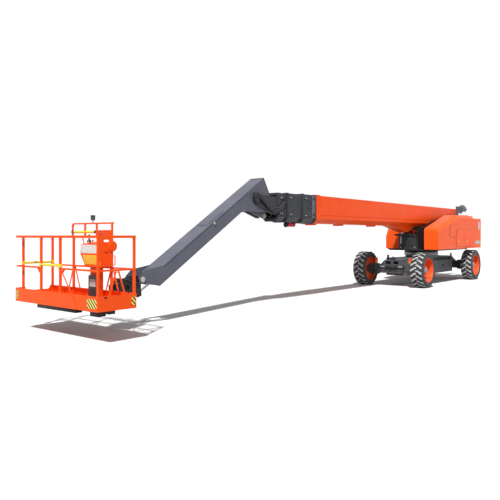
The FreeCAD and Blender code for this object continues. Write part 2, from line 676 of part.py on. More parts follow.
def cylinder_rod(foot, eye, start_length, radius, eye_radius, eye_half):
    """Piston rod from inside the barrel to its eye."""
    a = vec(foot[0], 0, foot[1])
    b = vec(eye[0], 0, eye[1])
    line = (b - a).normalize()
    bar = rod(tuple(a + line * start_length), tuple(b - line * (eye_radius - 5)), radius)
    return join([bar, leaning_block(b, line, eye_radius, eye_radius * 0.7, eye_half, eye_radius * 0.8)])


LIFT_FOOT = (LIFT_FOOT_X, LIFT_FOOT_Z)
LIFT_EYE = (LIFT_EYE_X, LIFT_EYE_Z)
JIB_FOOT = (JIB_FOOT_X, JIB_FOOT_Z)
JIB_EYE = (JIB_EYE_X, JIB_EYE_Z)
LEVEL_FOOT = along_jib(2550, 75)
LEVEL_EYE = along_jib(3902, 72)


# ---- Jib ----
def lean(shape):
    """Turns a piece drawn level at the jib pivot to the jib's angle."""
    leaning = shape.copy()
    leaning.rotate(vec(JIB_PIVOT_X, 0, JIB_PIVOT_Z), vec(0, 1, 0), JIB_ANGLE)
    return leaning


def jib_outline(wall):
    """Side outline of the jib, drawn in by the wall: deep root box, then the leaning tube."""
    low = JIB_PIVOT_Z - ROOT_DEPTH
    meet = (ROOT_DEPTH + JIB_BOTTOM * math.cos(math.radians(JIB_ANGLE))) / math.sin(math.radians(JIB_ANGLE))
    points = [along_jib(-ROOT_BACK, JIB_TOP), along_jib(JIB_TUBE_END, JIB_TOP),
              along_jib(JIB_TUBE_END, JIB_BOTTOM), along_jib(meet, JIB_BOTTOM),
              (JIB_PIVOT_X - 520, low), (JIB_PIVOT_X - 580, JIB_PIVOT_Z + 60)]
    corners = [vec(px, 0, pz) for px, pz in points]
    wire = Part.makePolygon(corners + corners[:1])
    return Part.Face(wire.makeOffset2D(-wall, 2) if wall else wire)


def jib_block(wall):
    half = JIB_WIDTH / 2 - wall
    face = jib_outline(wall)
    face.translate(vec(0, -half, 0))
    return face.extrude(vec(0, 2 * half, 0))


def jib_arm():
    x = JIB_PIVOT_X
    z = JIB_PIVOT_Z
    half = JIB_WIDTH / 2
    low = z - ROOT_DEPTH
    mouth = lean(box(x + JIB_TUBE_END - 40, x + JIB_TUBE_END + 10, -half + JIB_WALL, half - JIB_WALL,
                     z + JIB_BOTTOM + JIB_WALL, z + JIB_TOP - JIB_WALL))
    slot = plate_xz([(x + 150, low - 15), (x - 560, low - 15), (x - 640, z + 60), (x - 420, z + 430),
                     (x - 350, z + 390), (x - 550, z + 60), (x - 480, low + 20), (x + 150, low + 20)],
                    -ROOT_SLOT_Y, ROOT_SLOT_Y)
    pieces = [jib_block(0).cut(jib_block(JIB_WALL)).cut(mouth).cut(slot)]
    for y in (-half, half - JIB_WALL):
        pieces.append(plate_xz([along_jib(3150, JIB_TOP - 20), (LEVEL_PIN_X - 60, LEVEL_PIN_Z + 170),
                                (LEVEL_PIN_X + 85, LEVEL_PIN_Z + 40), (LEVEL_PIN_X + 60, LEVEL_PIN_Z - 70),
                                (LEVEL_PIN_X - 60, LEVEL_PIN_Z - 80), along_jib(3475, JIB_BOTTOM),
                                along_jib(3150, JIB_BOTTOM + 10)], y, y + JIB_WALL))
    for y in (ROOT_SLOT_Y + 5, -ROOT_SLOT_Y - 30):
        pieces.append(plate_xz([(JIB_EYE_X - 65, low), (JIB_EYE_X - 50, JIB_EYE_Z - 60),
                                (JIB_EYE_X + 60, JIB_EYE_Z - 60), (JIB_EYE_X + 560, low)], y, y + 25))
    pieces += both_sides(pin_y(x, z, 80, half - 60, half))
    pieces.append(pin_y(LEVEL_FOOT[0], LEVEL_FOOT[1], LEVEL_FOOT_PIN, -half + 2, half - 2))
    whole = join(pieces)
    whole = whole.cut(pin_y(x, z, JIB_PIN_RADIUS + PIN_CLEARANCE, -half - 50, half + 50))
    return whole.cut(pin_y(LEVEL_PIN_X, LEVEL_PIN_Z, SMALL_PIN_RADIUS + PIN_CLEARANCE, -half - 50, half + 50))


# ---- Platform support ----
def level_bracket():
    """Link plates that hang on the jib's tip and carry the rotator's foot."""
    x = LEVEL_PIN_X
    z = LEVEL_PIN_Z
    pieces = []
    for y in (60, -85):
        link = plate_xz([(x - 50, z + 50), (x + 50, z + 60), (ROTATOR_X - 60, z - 20), (ROTATOR_X, z - 80),
                         (ROTATOR_X, z - 300), (x + 100, z - 240), (LEVEL_EYE[0] + 40, LEVEL_EYE[1] - 45),
                         (LEVEL_EYE[0] - 50, LEVEL_EYE[1] - 20), (x - 60, z - 60)], y, y + 25)
        pieces.append(link.cut(pin_y(x + 250, z - 140, 50, y, y + 25)))
    pieces.append(rod((ROTATOR_X, 0, z - 300), (ROTATOR_X, 0, z - 80), 120))
    pieces.append(pin_y(x, z, SMALL_PIN_RADIUS, -JIB_WIDTH / 2 - 12, JIB_WIDTH / 2 + 12))
    whole = join(pieces)
    return whole


def platform_mount():
    """Arm from the rotator that runs under the platform floor."""
    z = LEVEL_PIN_Z - 300
    back = PLATFORM_BACK
    cap = rod((ROTATOR_X, 0, z - 70), (ROTATOR_X, 0, z - PAD_GAP), 120)
    arm = plate_xz([(ROTATOR_X, z - 70), (ROTATOR_X, z - 5), (back - 60, z - 5), (back - 20, FLOOR_BOTTOM),
                    (back + 650, FLOOR_BOTTOM), (back + 650, FLOOR_BOTTOM - 60),
                    (back, FLOOR_BOTTOM - 100)], -90, 90)
    beam = box(back + 300, back + 420, -1060, 1060, FLOOR_BOTTOM - 80, FLOOR_BOTTOM)
    return join([cap, arm, beam])


# ---- Platform ----
FLOOR_WALL = 25
TOE_WALL = 6
TOE_TOP = 775
POST_HALF = 18
MID_RAIL = 1165
MID_RAIL_HALF = 15
STRUT_WALL = 8
ENTRY_BAR = 1215
ENTRY_BAR_HALF = 14
SLEEVE_WALL = 7
SLEEVE_HALF_Z = 28
GUARD_TOP = 1920
GUARD_HALF = 13
LAMP_Y = 80
GUARD_RIGHT = -545
GUARD_LEFT = 655
GUARD_BEND = 60
GUARD_POSTS = (-150, 190, 620)
SIDE_ENTRY_DROP = 65
GUSSET_RADIUS = 50
POST_INSET = TOE_WALL + POST_HALF + 2
TOE_GAP = POST_HALF + 2 - STRUT_WALL / 2


def platform_floor():
    half = PLATFORM_WIDTH / 2
    back = PLATFORM_BACK
    front = PLATFORM_FRONT
    tray = box(back, front, -half, half, FLOOR_BOTTOM, TOE_TOP)
    tray = tray.cut(box(back + TOE_WALL, front - TOE_WALL, -half + TOE_WALL, half - TOE_WALL,
                        FLOOR_BOTTOM + FLOOR_WALL, TOE_TOP + 5))
    doorway = box(back + 70, SIDE_POST_X - 50, -half - 5, -half + 20, TOE_TOP - SIDE_ENTRY_DROP, TOE_TOP + 5)

    def low_corner(edge):
        ends = edge.Vertexes
        return edge.CenterOfMass.z < TOE_TOP - SIDE_ENTRY_DROP + 1 and ends[0].Y != ends[1].Y

    return tray.cut(round_edges(doorway, GUSSET_RADIUS, low_corner))


RAIL_FRONT = PLATFORM_FRONT - POST_INSET
RAIL_BACK = PLATFORM_BACK + POST_INSET
RAIL_SIDE = PLATFORM_WIDTH / 2 - POST_INSET
ENTRY_POSTS = (-410, 170)
CONSOLE_BACK = PLATFORM_BACK + TOE_WALL + 45
CONSOLE_FRONT = PLATFORM_BACK + 326
CONSOLE_RIGHT = 110
CONSOLE_LEFT = 660
CONSOLE_LOW = 1205
CONSOLE_BREAK = 1400
CONSOLE_TOP = 1600
COLUMN_Y = (120, 410)
PANEL_WALL = 12
LOOP_Y = 745
SIDE_POST_X = RAIL_FRONT - 110


def tube_bar(x0, x1, y0, y1, z0, z1, half):
    """Square rail between two points that differ along one axis only, grown sideways by half its width."""
    grow = [half if a == b else 0 for a, b in ((x0, x1), (y0, y1), (z0, z1))]
    return box(min(x0, x1) - grow[0], max(x0, x1) + grow[0], min(y0, y1) - grow[1], max(y0, y1) + grow[1],
               min(z0, z1) - grow[2], max(z0, z1) + grow[2])


def strut_yz(x, y_low, y_high, half):
    """Slanting flat bar across the machine, from the toe board up to the middle rail."""
    low = TOE_TOP - 60
    high = MID_RAIL
    return plate_yz([(y_low - half, low), (y_low + half, low), (y_high + half, high), (y_high - half, high)],
                    x - STRUT_WALL / 2, x + STRUT_WALL / 2)


def strut_xz(y, x_low, x_high, half):
    """Slanting flat bar along the machine, from the toe board up to the middle rail."""
    low = TOE_TOP - 60
    high = MID_RAIL
    return plate_xz([(x_low - half, low), (x_low + half, low), (x_high + half, high), (x_high - half, high)],
                    y - STRUT_WALL / 2, y + STRUT_WALL / 2)


def guard_hoop(foot):
    """Bent square tube that rises from the rear rail and runs level above the console."""
    x0 = RAIL_BACK - GUARD_HALF
    x1 = RAIL_BACK + GUARD_HALF
    hoop = box(x0, x1, GUARD_RIGHT, GUARD_LEFT, foot, GUARD_TOP + GUARD_HALF)
    tube = 2 * GUARD_HALF
    inside = box(x0 - 5, x1 + 5, GUARD_RIGHT + tube, GUARD_LEFT + 5, foot - 5, GUARD_TOP - GUARD_HALF)

    def bend(edge):
        middle = edge.CenterOfMass
        ends = edge.Vertexes
        return ends[0].X != ends[1].X and middle.y < 0 and middle.z > foot + 50

    return round_edges(hoop, GUARD_BEND, bend).cut(round_edges(inside, GUARD_BEND - tube, bend))


def platform_rails():
    floor = FLOOR_BOTTOM + FLOOR_WALL
    top = RAIL_TOP - RAIL_HALF
    half = POST_HALF
    posts = [(SIDE_POST_X, -RAIL_SIDE), (RAIL_FRONT, RAIL_SIDE), (RAIL_BACK, -RAIL_SIDE), (RAIL_BACK, RAIL_SIDE),
             (RAIL_FRONT, ENTRY_POSTS[0]), (RAIL_FRONT, ENTRY_POSTS[1]), (RAIL_BACK, -500), (RAIL_BACK, 600)]
    pieces = [tube_bar(x, x, y, y, floor, top, half) for x, y in posts]
    for x in (RAIL_FRONT, RAIL_BACK):
        pieces.append(tube_bar(x, x, -RAIL_SIDE - RAIL_HALF, RAIL_SIDE + RAIL_HALF, top, top, RAIL_HALF))
    for y in (-RAIL_SIDE, RAIL_SIDE):
        pieces.append(tube_bar(RAIL_BACK, RAIL_FRONT, y, y, top, top, RAIL_HALF))
    mid = MID_RAIL_HALF
    pieces.append(tube_bar(RAIL_FRONT, RAIL_FRONT, -RAIL_SIDE - mid, ENTRY_POSTS[0], MID_RAIL, MID_RAIL, mid))
    pieces.append(tube_bar(SIDE_POST_X, RAIL_FRONT, -RAIL_SIDE, -RAIL_SIDE, MID_RAIL, MID_RAIL, mid))
    pieces.append(tube_bar(RAIL_FRONT, RAIL_FRONT, ENTRY_POSTS[1], RAIL_SIDE, MID_RAIL, MID_RAIL, mid))
    pieces.append(tube_bar(RAIL_BACK, RAIL_BACK, -RAIL_SIDE, RAIL_SIDE, MID_RAIL, MID_RAIL, mid))
    pieces.append(tube_bar(RAIL_BACK, RAIL_FRONT, RAIL_SIDE, RAIL_SIDE, MID_RAIL, MID_RAIL, mid))
    front_strut = RAIL_FRONT + TOE_GAP
    back_strut = RAIL_BACK - TOE_GAP
    side_strut = RAIL_SIDE + TOE_GAP
    pieces.append(strut_yz(front_strut, 560, ENTRY_POSTS[1] + 30, 15))
    for y in (-500, 600):
        pieces.append(strut_yz(back_strut, y - 190, y - 20, 15))
        pieces.append(strut_yz(back_strut, y + 190, y + 20, 15))
    middle = (RAIL_FRONT + RAIL_BACK) / 2
    pieces.append(strut_xz(side_strut, middle - 170, middle - 20, 15))
    pieces.append(strut_xz(side_strut, middle + 170, middle + 20, 15))
    pieces.append(guard_hoop(top))
    for y in GUARD_POSTS:
        pieces.append(tube_bar(RAIL_BACK, RAIL_BACK, y, y, top, GUARD_TOP, GUARD_HALF))
    return join(pieces)


def entry_bar(start, end):
    """Bar that slides up on two posts to let a person in."""
    x0, y0, z = start
    x1, y1, z = end
    pieces = [tube_bar(x0, x1, y0, y1, z, z, ENTRY_BAR_HALF)]
    outer = POST_HALF + SLEEVE_WALL
    inner = POST_HALF + PAD_GAP
    for x, y in ((x0, y0), (x1, y1)):
        pieces.append(box(x - outer, x + outer, y - outer, y + outer, z - SLEEVE_HALF_Z, z + SLEEVE_HALF_Z))
    whole = join(pieces)
    for x, y in ((x0, y0), (x1, y1)):
        whole = whole.cut(box(x - inner, x + inner, y - inner, y + inner, z - 40, z + 40))
    return whole


def front_entry_bar():
    return entry_bar((RAIL_FRONT, ENTRY_POSTS[0], ENTRY_BAR), (RAIL_FRONT, ENTRY_POSTS[1], ENTRY_BAR))


def side_entry_bar():
    return entry_bar((RAIL_BACK, -RAIL_SIDE, ENTRY_BAR), (SIDE_POST_X, -RAIL_SIDE, ENTRY_BAR))


def oval_hole(x, z, half_length, radius, y0, y1):
    """Cutter for an oval hole through an upright plate."""
    hole = box(x - half_length, x + half_length, y0, y1, z - radius, z + radius)
    return hole.fuse([pin_y(x + end * half_length, z, radius, y0, y1) for end in (-1, 1)])


def console_stand():
    """Column, shelf and side panel that carry the control console, and the hose loop behind it."""
    back = CONSOLE_BACK
    front = CONSOLE_FRONT
    panel_y = CONSOLE_LEFT + 12
    column = box(back, back + 60, COLUMN_Y[0], COLUMN_Y[1], FLOOR_BOTTOM + FLOOR_WALL, CONSOLE_LOW)
    shelf = box(back, front - 50, CONSOLE_RIGHT + 85, panel_y + PANEL_WALL, CONSOLE_LOW - 12, CONSOLE_LOW)
    panel = plate_xz([(back, CONSOLE_LOW - 12), (front - 45, CONSOLE_LOW - 12), (front + 15, 1400),
                      (front + 15, RAIL_TOP - 60), (front - 60, RAIL_TOP), (back, RAIL_TOP)],
                     panel_y, panel_y + PANEL_WALL)
    for z, half_length, radius in ((1620, 36, 20), (1430, 28, 13)):
        middle = (back + front) / 2
        panel = panel.cut(oval_hole(middle, z, half_length, radius, panel_y - 5, panel_y + PANEL_WALL + 5))
    loop = box(back, back + 13, panel_y + PANEL_WALL, LOOP_Y, 1210, 1375)
    loop = loop.cut(box(back - 5, back + 18, panel_y + PANEL_WALL, LOOP_Y - 13, 1223, 1362))
    return join([column, shelf, panel, loop])


def control_console():
    """Console housing, its front leaning back at the foot and its right side drawn in below."""
    back = CONSOLE_BACK
    front = CONSOLE_FRONT
    side = plate_xz([(back, CONSOLE_LOW), (front - 50, CONSOLE_LOW), (front, CONSOLE_BREAK),
                     (front - 30, CONSOLE_TOP - 40), (back, CONSOLE_TOP)], CONSOLE_RIGHT, CONSOLE_LEFT)
    taper = plate_yz([(CONSOLE_RIGHT + 85, CONSOLE_LOW), (CONSOLE_LEFT, CONSOLE_LOW),
                      (CONSOLE_LEFT, CONSOLE_TOP), (CONSOLE_RIGHT, CONSOLE_TOP),
                      (CONSOLE_RIGHT, CONSOLE_TOP - 60)], back, front)
    return side.common(taper)


def work_lamp():
    x = RAIL_BACK
    y = LAMP_Y
    stem = rod((x, y, GUARD_TOP + GUARD_HALF), (x, y, 1975), 8)
    body = rod((x, y, 1975), (x, y, 2060), 38)
    return join([stem, body])


# ---- Everything ----
def build():
    os.makedirs("parts", exist_ok=True)
    export("chassis_frame", chassis_frame())
    export("front_axle", axle(1))
    export("rear_axle", axle(-1))
    export("front_tie_rod", tie_rod(1))
    export("rear_tie_rod", tie_rod(-1))
    ends = {"front": 1, "rear": -1}
    sides = {"left": 1, "right": -1}
    for end_name, end in ends.items():
        for side_name, side in sides.items():
            corner = end_name + "_" + side_name
            export("knuckle_" + corner, knuckle(end, side))
            export("rim_" + corner, wheel_rim(end, side))
            export("tyre_" + corner, wheel_tyre(end, side))
    export("slew_ring", slew_ring())
    export("turntable_frame", turntable_frame())
    export("turntable_pins", turntable_pins())
    export("counterweight", counterweight())
    export("engine", engine())
    export("hydraulic_tank", hydraulic_tank())
    left_hood = cut_doorways(hood(LEFT_HOOD_FRONT, LEFT_HOOD_INNER_Y, True))
    x0, x1, z0, z1 = PANEL
    left_hood = left_hood.cut(box(x0, x1, HALF_WIDTH - HOOD_WALL - 5, HALF_WIDTH + 5, z0, z1))
    export("left_hood", left_hood)
    export("right_hood", mirrored(cut_doorways(hood(RIGHT_HOOD_FRONT, RIGHT_HOOD_INNER_Y, False))))
    for place in DOOR_PLACES:
        export("left_" + place, hood_door(place))
        export("right_" + place, mirrored(hood_door(place)))
    export("ground_control_box", ground_control_box())
    export("ground_control_lid", ground_control_lid())
    export("boom_base", boom_base())
    export("boom_section_two", boom_section(1))
    export("boom_section_three", boom_section(2))
    export("boom_head", boom_head())
    export("boom_pins", boom_pins())
    export("boom_tail_bracket", boom_tail_bracket())
    export("lift_barrel", cylinder_barrel(LIFT_FOOT, LIFT_EYE, LIFT_BARREL_LENGTH, LIFT_BARREL_RADIUS,
                                          LIFT_ROD_RADIUS + 0.1, 85, 112, LIFT_PIN_RADIUS))
    export("lift_rod", cylinder_rod(LIFT_FOOT, LIFT_EYE, 200, LIFT_ROD_RADIUS, 80, EYE_CHEEK_Y - 8))
    export("jib_arm", jib_arm())
    export("jib_barrel", cylinder_barrel(JIB_FOOT, JIB_EYE, 1270, 60, 35.1, 55, 50, SMALL_PIN_RADIUS))
    export("jib_rod", cylinder_rod(JIB_FOOT, JIB_EYE, 380, 35, 50, 45))
    export("level_barrel", cylinder_barrel(LEVEL_FOOT, LEVEL_EYE, 840, 45, 28.1, 45, 40, LEVEL_FOOT_PIN))
    export("level_rod", cylinder_rod(LEVEL_FOOT, LEVEL_EYE, 480, 28, 42, 40))
    export("level_bracket", level_bracket())
    export("platform_mount", platform_mount())
    export("platform_floor", platform_floor())
    export("platform_rails", platform_rails())
    export("front_entry_bar", front_entry_bar())
    export("side_entry_bar", side_entry_bar())
    export("console_stand", console_stand())
    export("control_console", control_console())
    export("work_lamp", work_lamp())


build()
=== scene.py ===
import math

import bpy
from mathutils import Matrix, Vector


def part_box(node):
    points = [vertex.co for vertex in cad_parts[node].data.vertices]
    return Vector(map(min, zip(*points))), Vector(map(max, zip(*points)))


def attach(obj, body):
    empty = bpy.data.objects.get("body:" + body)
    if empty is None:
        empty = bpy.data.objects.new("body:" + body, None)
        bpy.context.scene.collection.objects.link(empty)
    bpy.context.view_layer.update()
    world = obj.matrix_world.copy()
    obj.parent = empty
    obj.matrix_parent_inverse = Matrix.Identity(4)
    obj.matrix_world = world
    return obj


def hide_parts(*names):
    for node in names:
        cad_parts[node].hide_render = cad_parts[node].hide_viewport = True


# Telescopic boom lift, finished round its steelwork. Metres, +X from the counterweight to the work
# platform, +Y to the machine's left, +Z up. The sections follow the machine as it is put together.

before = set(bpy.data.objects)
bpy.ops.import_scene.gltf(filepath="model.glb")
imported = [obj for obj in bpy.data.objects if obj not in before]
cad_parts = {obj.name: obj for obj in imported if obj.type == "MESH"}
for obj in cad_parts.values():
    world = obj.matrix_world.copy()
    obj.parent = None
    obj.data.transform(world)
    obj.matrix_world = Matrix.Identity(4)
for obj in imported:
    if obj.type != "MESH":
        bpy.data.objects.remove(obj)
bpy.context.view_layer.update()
bpy.ops.object.select_all(action="DESELECT")
slew_low, slew_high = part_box("slew_ring")
SLEW_X = (slew_low[0] + slew_high[0]) / 2


# ---- Painted steelwork ----
# Welded plate, shot-blasted, primed and sprayed with gloss paint, orange on the body and slate on
# the boom's inner sections. Dust settles on the lower half and small chips show along the plates.
def new_group(name, inputs, outputs):
    group = bpy.data.node_groups.new(name, "ShaderNodeTree")
    for label, kind, value in inputs:
        socket = group.interface.new_socket(label, in_out="INPUT", socket_type=kind)
        if value is not None:
            socket.default_value = value
    for label, kind in outputs:
        group.interface.new_socket(label, in_out="OUTPUT", socket_type=kind)
    entry = group.nodes.new("NodeGroupInput")
    leave = group.nodes.new("NodeGroupOutput")
    return group, entry, leave


def noise_node(tree, place, scale, detail):
    noise = tree.nodes.new("ShaderNodeTexNoise")
    noise.inputs["Detail"].default_value = detail
    if isinstance(scale, (int, float)):
        noise.inputs["Scale"].default_value = scale
    else:
        tree.links.new(scale, noise.inputs["Scale"])
    tree.links.new(place, noise.inputs["Vector"])
    return noise.outputs["Fac"]


def spread_node(tree, value, low, high, to_low=0.0, to_high=1.0):
    spread = tree.nodes.new("ShaderNodeMapRange")
    spread.inputs["From Min"].default_value = low
    spread.inputs["From Max"].default_value = high
    spread.inputs["To Min"].default_value = to_low
    spread.inputs["To Max"].default_value = to_high
    tree.links.new(value, spread.inputs["Value"])
    return spread.outputs["Result"]


def mix_node(tree, amount, first, second):
    mix = tree.nodes.new("ShaderNodeMix")
    mix.data_type = "RGBA"
    tree.links.new(amount, mix.inputs[0])
    for source, place in ((first, 6), (second, 7)):
        if isinstance(source, tuple):
            mix.inputs[place].default_value = source
        else:
            tree.links.new(source, mix.inputs[place])
    return mix.outputs[2]


def sum_node(tree, operation, first, second):
    sum_ = tree.nodes.new("ShaderNodeMath")
    sum_.operation = operation
    for source, place in ((first, 0), (second, 1)):
        if isinstance(source, (int, float)):
            sum_.inputs[place].default_value = source
        else:
            tree.links.new(source, sum_.inputs[place])
    return sum_.outputs[0]


def sprayed_paint_group():
    group, entry, leave = new_group(
        "Sprayed Paint",
        [("Place", "NodeSocketVector", None), ("Paint", "NodeSocketColor", (0.8, 0.2, 0.05, 1)),
         ("Faded Paint", "NodeSocketColor", (0.8, 0.25, 0.1, 1)),
         ("Primer", "NodeSocketColor", (0.16, 0.15, 0.14, 1)),
         ("Dust", "NodeSocketColor", (0.44, 0.39, 0.33, 1)),
         ("Dust Height", "NodeSocketFloat", 1.4), ("Dust Amount", "NodeSocketFloat", 0.3),
         ("Gloss Roughness", "NodeSocketFloat", 0.32)],
        [("Color", "NodeSocketColor"), ("Roughness", "NodeSocketFloat"), ("Height", "NodeSocketFloat")])
    place = entry.outputs["Place"]
    tone = spread_node(group, noise_node(group, place, 1.7, 4), 0.35, 0.68)
    paint = mix_node(group, tone, entry.outputs["Paint"], entry.outputs["Faded Paint"])
    chips = spread_node(group, noise_node(group, place, 46.0, 3), 0.745, 0.765, 0.0, 0.6)
    paint = mix_node(group, chips, paint, entry.outputs["Primer"])
    split = group.nodes.new("ShaderNodeSeparateXYZ")
    group.links.new(place, split.inputs[0])
    low_down = group.nodes.new("ShaderNodeMapRange")
    group.links.new(split.outputs["Z"], low_down.inputs["Value"])
    group.links.new(entry.outputs["Dust Height"], low_down.inputs["From Min"])
    low_down.inputs["From Max"].default_value = 0.0
    patches = spread_node(group, noise_node(group, place, 9.0, 6), 0.42, 0.72)
    dusty = sum_node(group, "MULTIPLY", low_down.outputs["Result"], patches)
    dusty = sum_node(group, "MULTIPLY", dusty, entry.outputs["Dust Amount"])
    group.links.new(mix_node(group, dusty, paint, entry.outputs["Dust"]), leave.inputs["Color"])
    smears = spread_node(group, noise_node(group, place, 5.0, 5), 0.3, 0.75, 0.0, 0.14)
    rough = sum_node(group, "ADD", entry.outputs["Gloss Roughness"], smears)
    rough = sum_node(group, "ADD", rough, sum_node(group, "MULTIPLY", dusty, 0.4))
    group.links.new(rough, leave.inputs["Roughness"])
    group.links.new(noise_node(group, place, 240.0, 2), leave.inputs["Height"])
    return group


sprayed_paint = sprayed_paint_group()


def blank_material(name):
    material = bpy.data.materials.new(name)
    material.use_nodes = True
    tree = material.node_tree
    shader = tree.nodes["Principled BSDF"]
    place = tree.nodes.new("ShaderNodeTexCoord").outputs["Object"]
    return material, tree, shader, place


def place_group(tree, group, place, values):
    look = tree.nodes.new("ShaderNodeGroup")
    look.node_tree = group
    tree.links.new(place, look.inputs["Place"])
    for label, value in values.items():
        look.inputs[label].default_value = (*value, 1) if isinstance(value, tuple) else value
    return look


def wire_look(tree, look, shader, strength, distance):
    tree.links.new(look.outputs["Color"], shader.inputs["Base Color"])
    tree.links.new(look.outputs["Roughness"], shader.inputs["Roughness"])
    bump = tree.nodes.new("ShaderNodeBump")
    bump.inputs["Strength"].default_value = strength
    bump.inputs["Distance"].default_value = distance
    tree.links.new(look.outputs["Height"], bump.inputs["Height"])
    tree.links.new(bump.outputs["Normal"], shader.inputs["Normal"])


def painted(name, paint, faded, rough=0.34, dust=0.2, dust_height=1.4, coat=0.02):
    material, tree, shader, place = blank_material(name)
    look = place_group(tree, sprayed_paint, place, {
        "Paint": paint, "Faded Paint": faded, "Dust Height": dust_height, "Dust Amount": dust,
        "Gloss Roughness": rough})
    wire_look(tree, look, shader, 0.05, 0.002)
    shader.inputs["Coat Weight"].default_value = coat
    shader.inputs["Coat Roughness"].default_value = 0.2
    shader.inputs["Specular IOR Level"].default_value = 0.15
    return material


orange_paint = painted("orange gloss paint", (0.92, 0.078, 0.003), (0.93, 0.092, 0.005), dust=0.12)
# A lighter, pinker copy of the body orange: a painted reflection, used on the hoods, doors, counterweight and
# their fittings.
hood_paint_with_reflection = painted("hood orange with painted reflection", (0.93, 0.095, 0.008), (0.94, 0.108, 0.012), dust=0.10)
platform_paint = painted("platform orange paint", (0.92, 0.080, 0.004), (0.93, 0.095, 0.006), dust=0.05)
rim_paint = painted("rim orange paint", (0.86, 0.085, 0.012), (0.88, 0.12, 0.03), dust=0.35, dust_height=1.2)
slate_paint = painted("slate paint", (0.105, 0.108, 0.142), (0.125, 0.128, 0.165), dust=0.05)
collar_paint = painted("dark slate paint", (0.034, 0.036, 0.043), (0.050, 0.053, 0.062), dust=0.05)
tank_paint = painted("tank paint", (0.030, 0.034, 0.034), (0.045, 0.050, 0.050), rough=0.45, dust=0.1)
# Lightened by about half again: painted light on the chassis sides, which lie in the hoods' shadow.
chassis_paint_with_painted_light = painted("dark grey chassis paint with painted light", (0.118, 0.123, 0.140), (0.135, 0.140, 0.156),
                        rough=0.42, dust=0.12)
axle_paint = painted("dark grey axle paint", (0.060, 0.064, 0.074), (0.078, 0.082, 0.092), rough=0.42,
                     dust=0.2)
black_paint = painted("black paint", (0.018, 0.018, 0.020), (0.030, 0.030, 0.033), rough=0.4)
yellow_paint = painted("yellow sleeve paint", (0.92, 0.66, 0.035), (0.93, 0.70, 0.08), rough=0.4, dust=0.05)
engine_paint = painted("engine casting paint", (0.05, 0.05, 0.052), (0.07, 0.07, 0.072), rough=0.6, dust=0.5)
red_paint = painted("red roller paint", (0.55, 0.012, 0.03), (0.6, 0.02, 0.04), rough=0.35, dust=0.1)


# ---- Ground and chromed bar ----
# Piston rods are hard-chromed and polished; pins and the slewing ring are turned and ground steel.
# Fine drawn lines run along the bar and handling leaves slight smears.
def drawn_metal_group():
    group, entry, leave = new_group(
        "Drawn Metal",
        [("Place", "NodeSocketVector", None), ("Metal", "NodeSocketColor", (0.6, 0.6, 0.6, 1)),
         ("Bright Metal", "NodeSocketColor", (0.7, 0.7, 0.7, 1)), ("Polish", "NodeSocketFloat", 0.2)],
        [("Color", "NodeSocketColor"), ("Roughness", "NodeSocketFloat"), ("Height", "NodeSocketFloat")])
    stretch = group.nodes.new("ShaderNodeMapping")
    stretch.inputs["Scale"].default_value = (2, 60, 60)
    group.links.new(entry.outputs["Place"], stretch.inputs["Vector"])
    lines = noise_node(group, stretch.outputs["Vector"], 3.0, 3)
    tone = spread_node(group, noise_node(group, entry.outputs["Place"], 6.0, 4), 0.4, 0.65)
    group.links.new(mix_node(group, tone, entry.outputs["Metal"], entry.outputs["Bright Metal"]),
                    leave.inputs["Color"])
    spread = spread_node(group, lines, 0.3, 0.7, 0.8, 1.5)
    group.links.new(sum_node(group, "MULTIPLY", spread, entry.outputs["Polish"]), leave.inputs["Roughness"])
    group.links.new(lines, leave.inputs["Height"])
    return group


drawn_metal = drawn_metal_group()


def bare_metal(name, metal, bright, polish):
    material, tree, shader, place = blank_material(name)
    look = place_group(tree, drawn_metal, place, {"Metal": metal, "Bright Metal": bright, "Polish": polish})
    wire_look(tree, look, shader, 0.03, 0.001)
    shader.inputs["Metallic"].default_value = 1.0
    return material


chrome_bar = bare_metal("chromed piston rod", (0.60, 0.61, 0.63), (0.68, 0.69, 0.71), 0.16)
pin_steel = bare_metal("ground pin steel", (0.38, 0.37, 0.35), (0.45, 0.44, 0.42), 0.34)
ring_steel = bare_metal("slewing ring steel", (0.16, 0.16, 0.16), (0.21, 0.21, 0.21), 0.42)


# ---- Rubber and moulded plastic ----
# Injection-moulded housings and grips with a fine spark-eroded grain, and the rubber of the tyres,
# whose lug faces are painted pale grey: a painted highlight where the tread catches the light, with some
# dust.
def moulded_grain_group():
    group, entry, leave = new_group(
        "Moulded Grain",
        [("Place", "NodeSocketVector", None), ("Plastic", "NodeSocketColor", (0.02, 0.02, 0.02, 1)),
         ("Scuffed Plastic", "NodeSocketColor", (0.05, 0.05, 0.05, 1)),
         ("Grain Scale", "NodeSocketFloat", 200.0), ("Scuff Scale", "NodeSocketFloat", 7.0),
         ("Sheen Roughness", "NodeSocketFloat", 0.5)],
        [("Color", "NodeSocketColor"), ("Roughness", "NodeSocketFloat"), ("Height", "NodeSocketFloat")])
    place = entry.outputs["Place"]
    scuffs = spread_node(group, noise_node(group, place, entry.outputs["Scuff Scale"], 5), 0.36, 0.68)
    group.links.new(mix_node(group, scuffs, entry.outputs["Plastic"], entry.outputs["Scuffed Plastic"]),
                    leave.inputs["Color"])
    grain = noise_node(group, place, entry.outputs["Grain Scale"], 3)
    spread = spread_node(group, grain, 0.3, 0.7, -0.06, 0.1)
    rough = sum_node(group, "ADD", spread, entry.outputs["Sheen Roughness"])
    group.links.new(rough, leave.inputs["Roughness"])
    group.links.new(grain, leave.inputs["Height"])
    return group


moulded_grain = moulded_grain_group()


def moulded(name, plastic, scuffed, rough, grain=200.0, scuff=7.0):
    material, tree, shader, place = blank_material(name)
    look = place_group(tree, moulded_grain, place, {
        "Plastic": plastic, "Scuffed Plastic": scuffed, "Grain Scale": grain, "Scuff Scale": scuff,
        "Sheen Roughness": rough})
    wire_look(tree, look, shader, 0.12, 0.001)
    return material


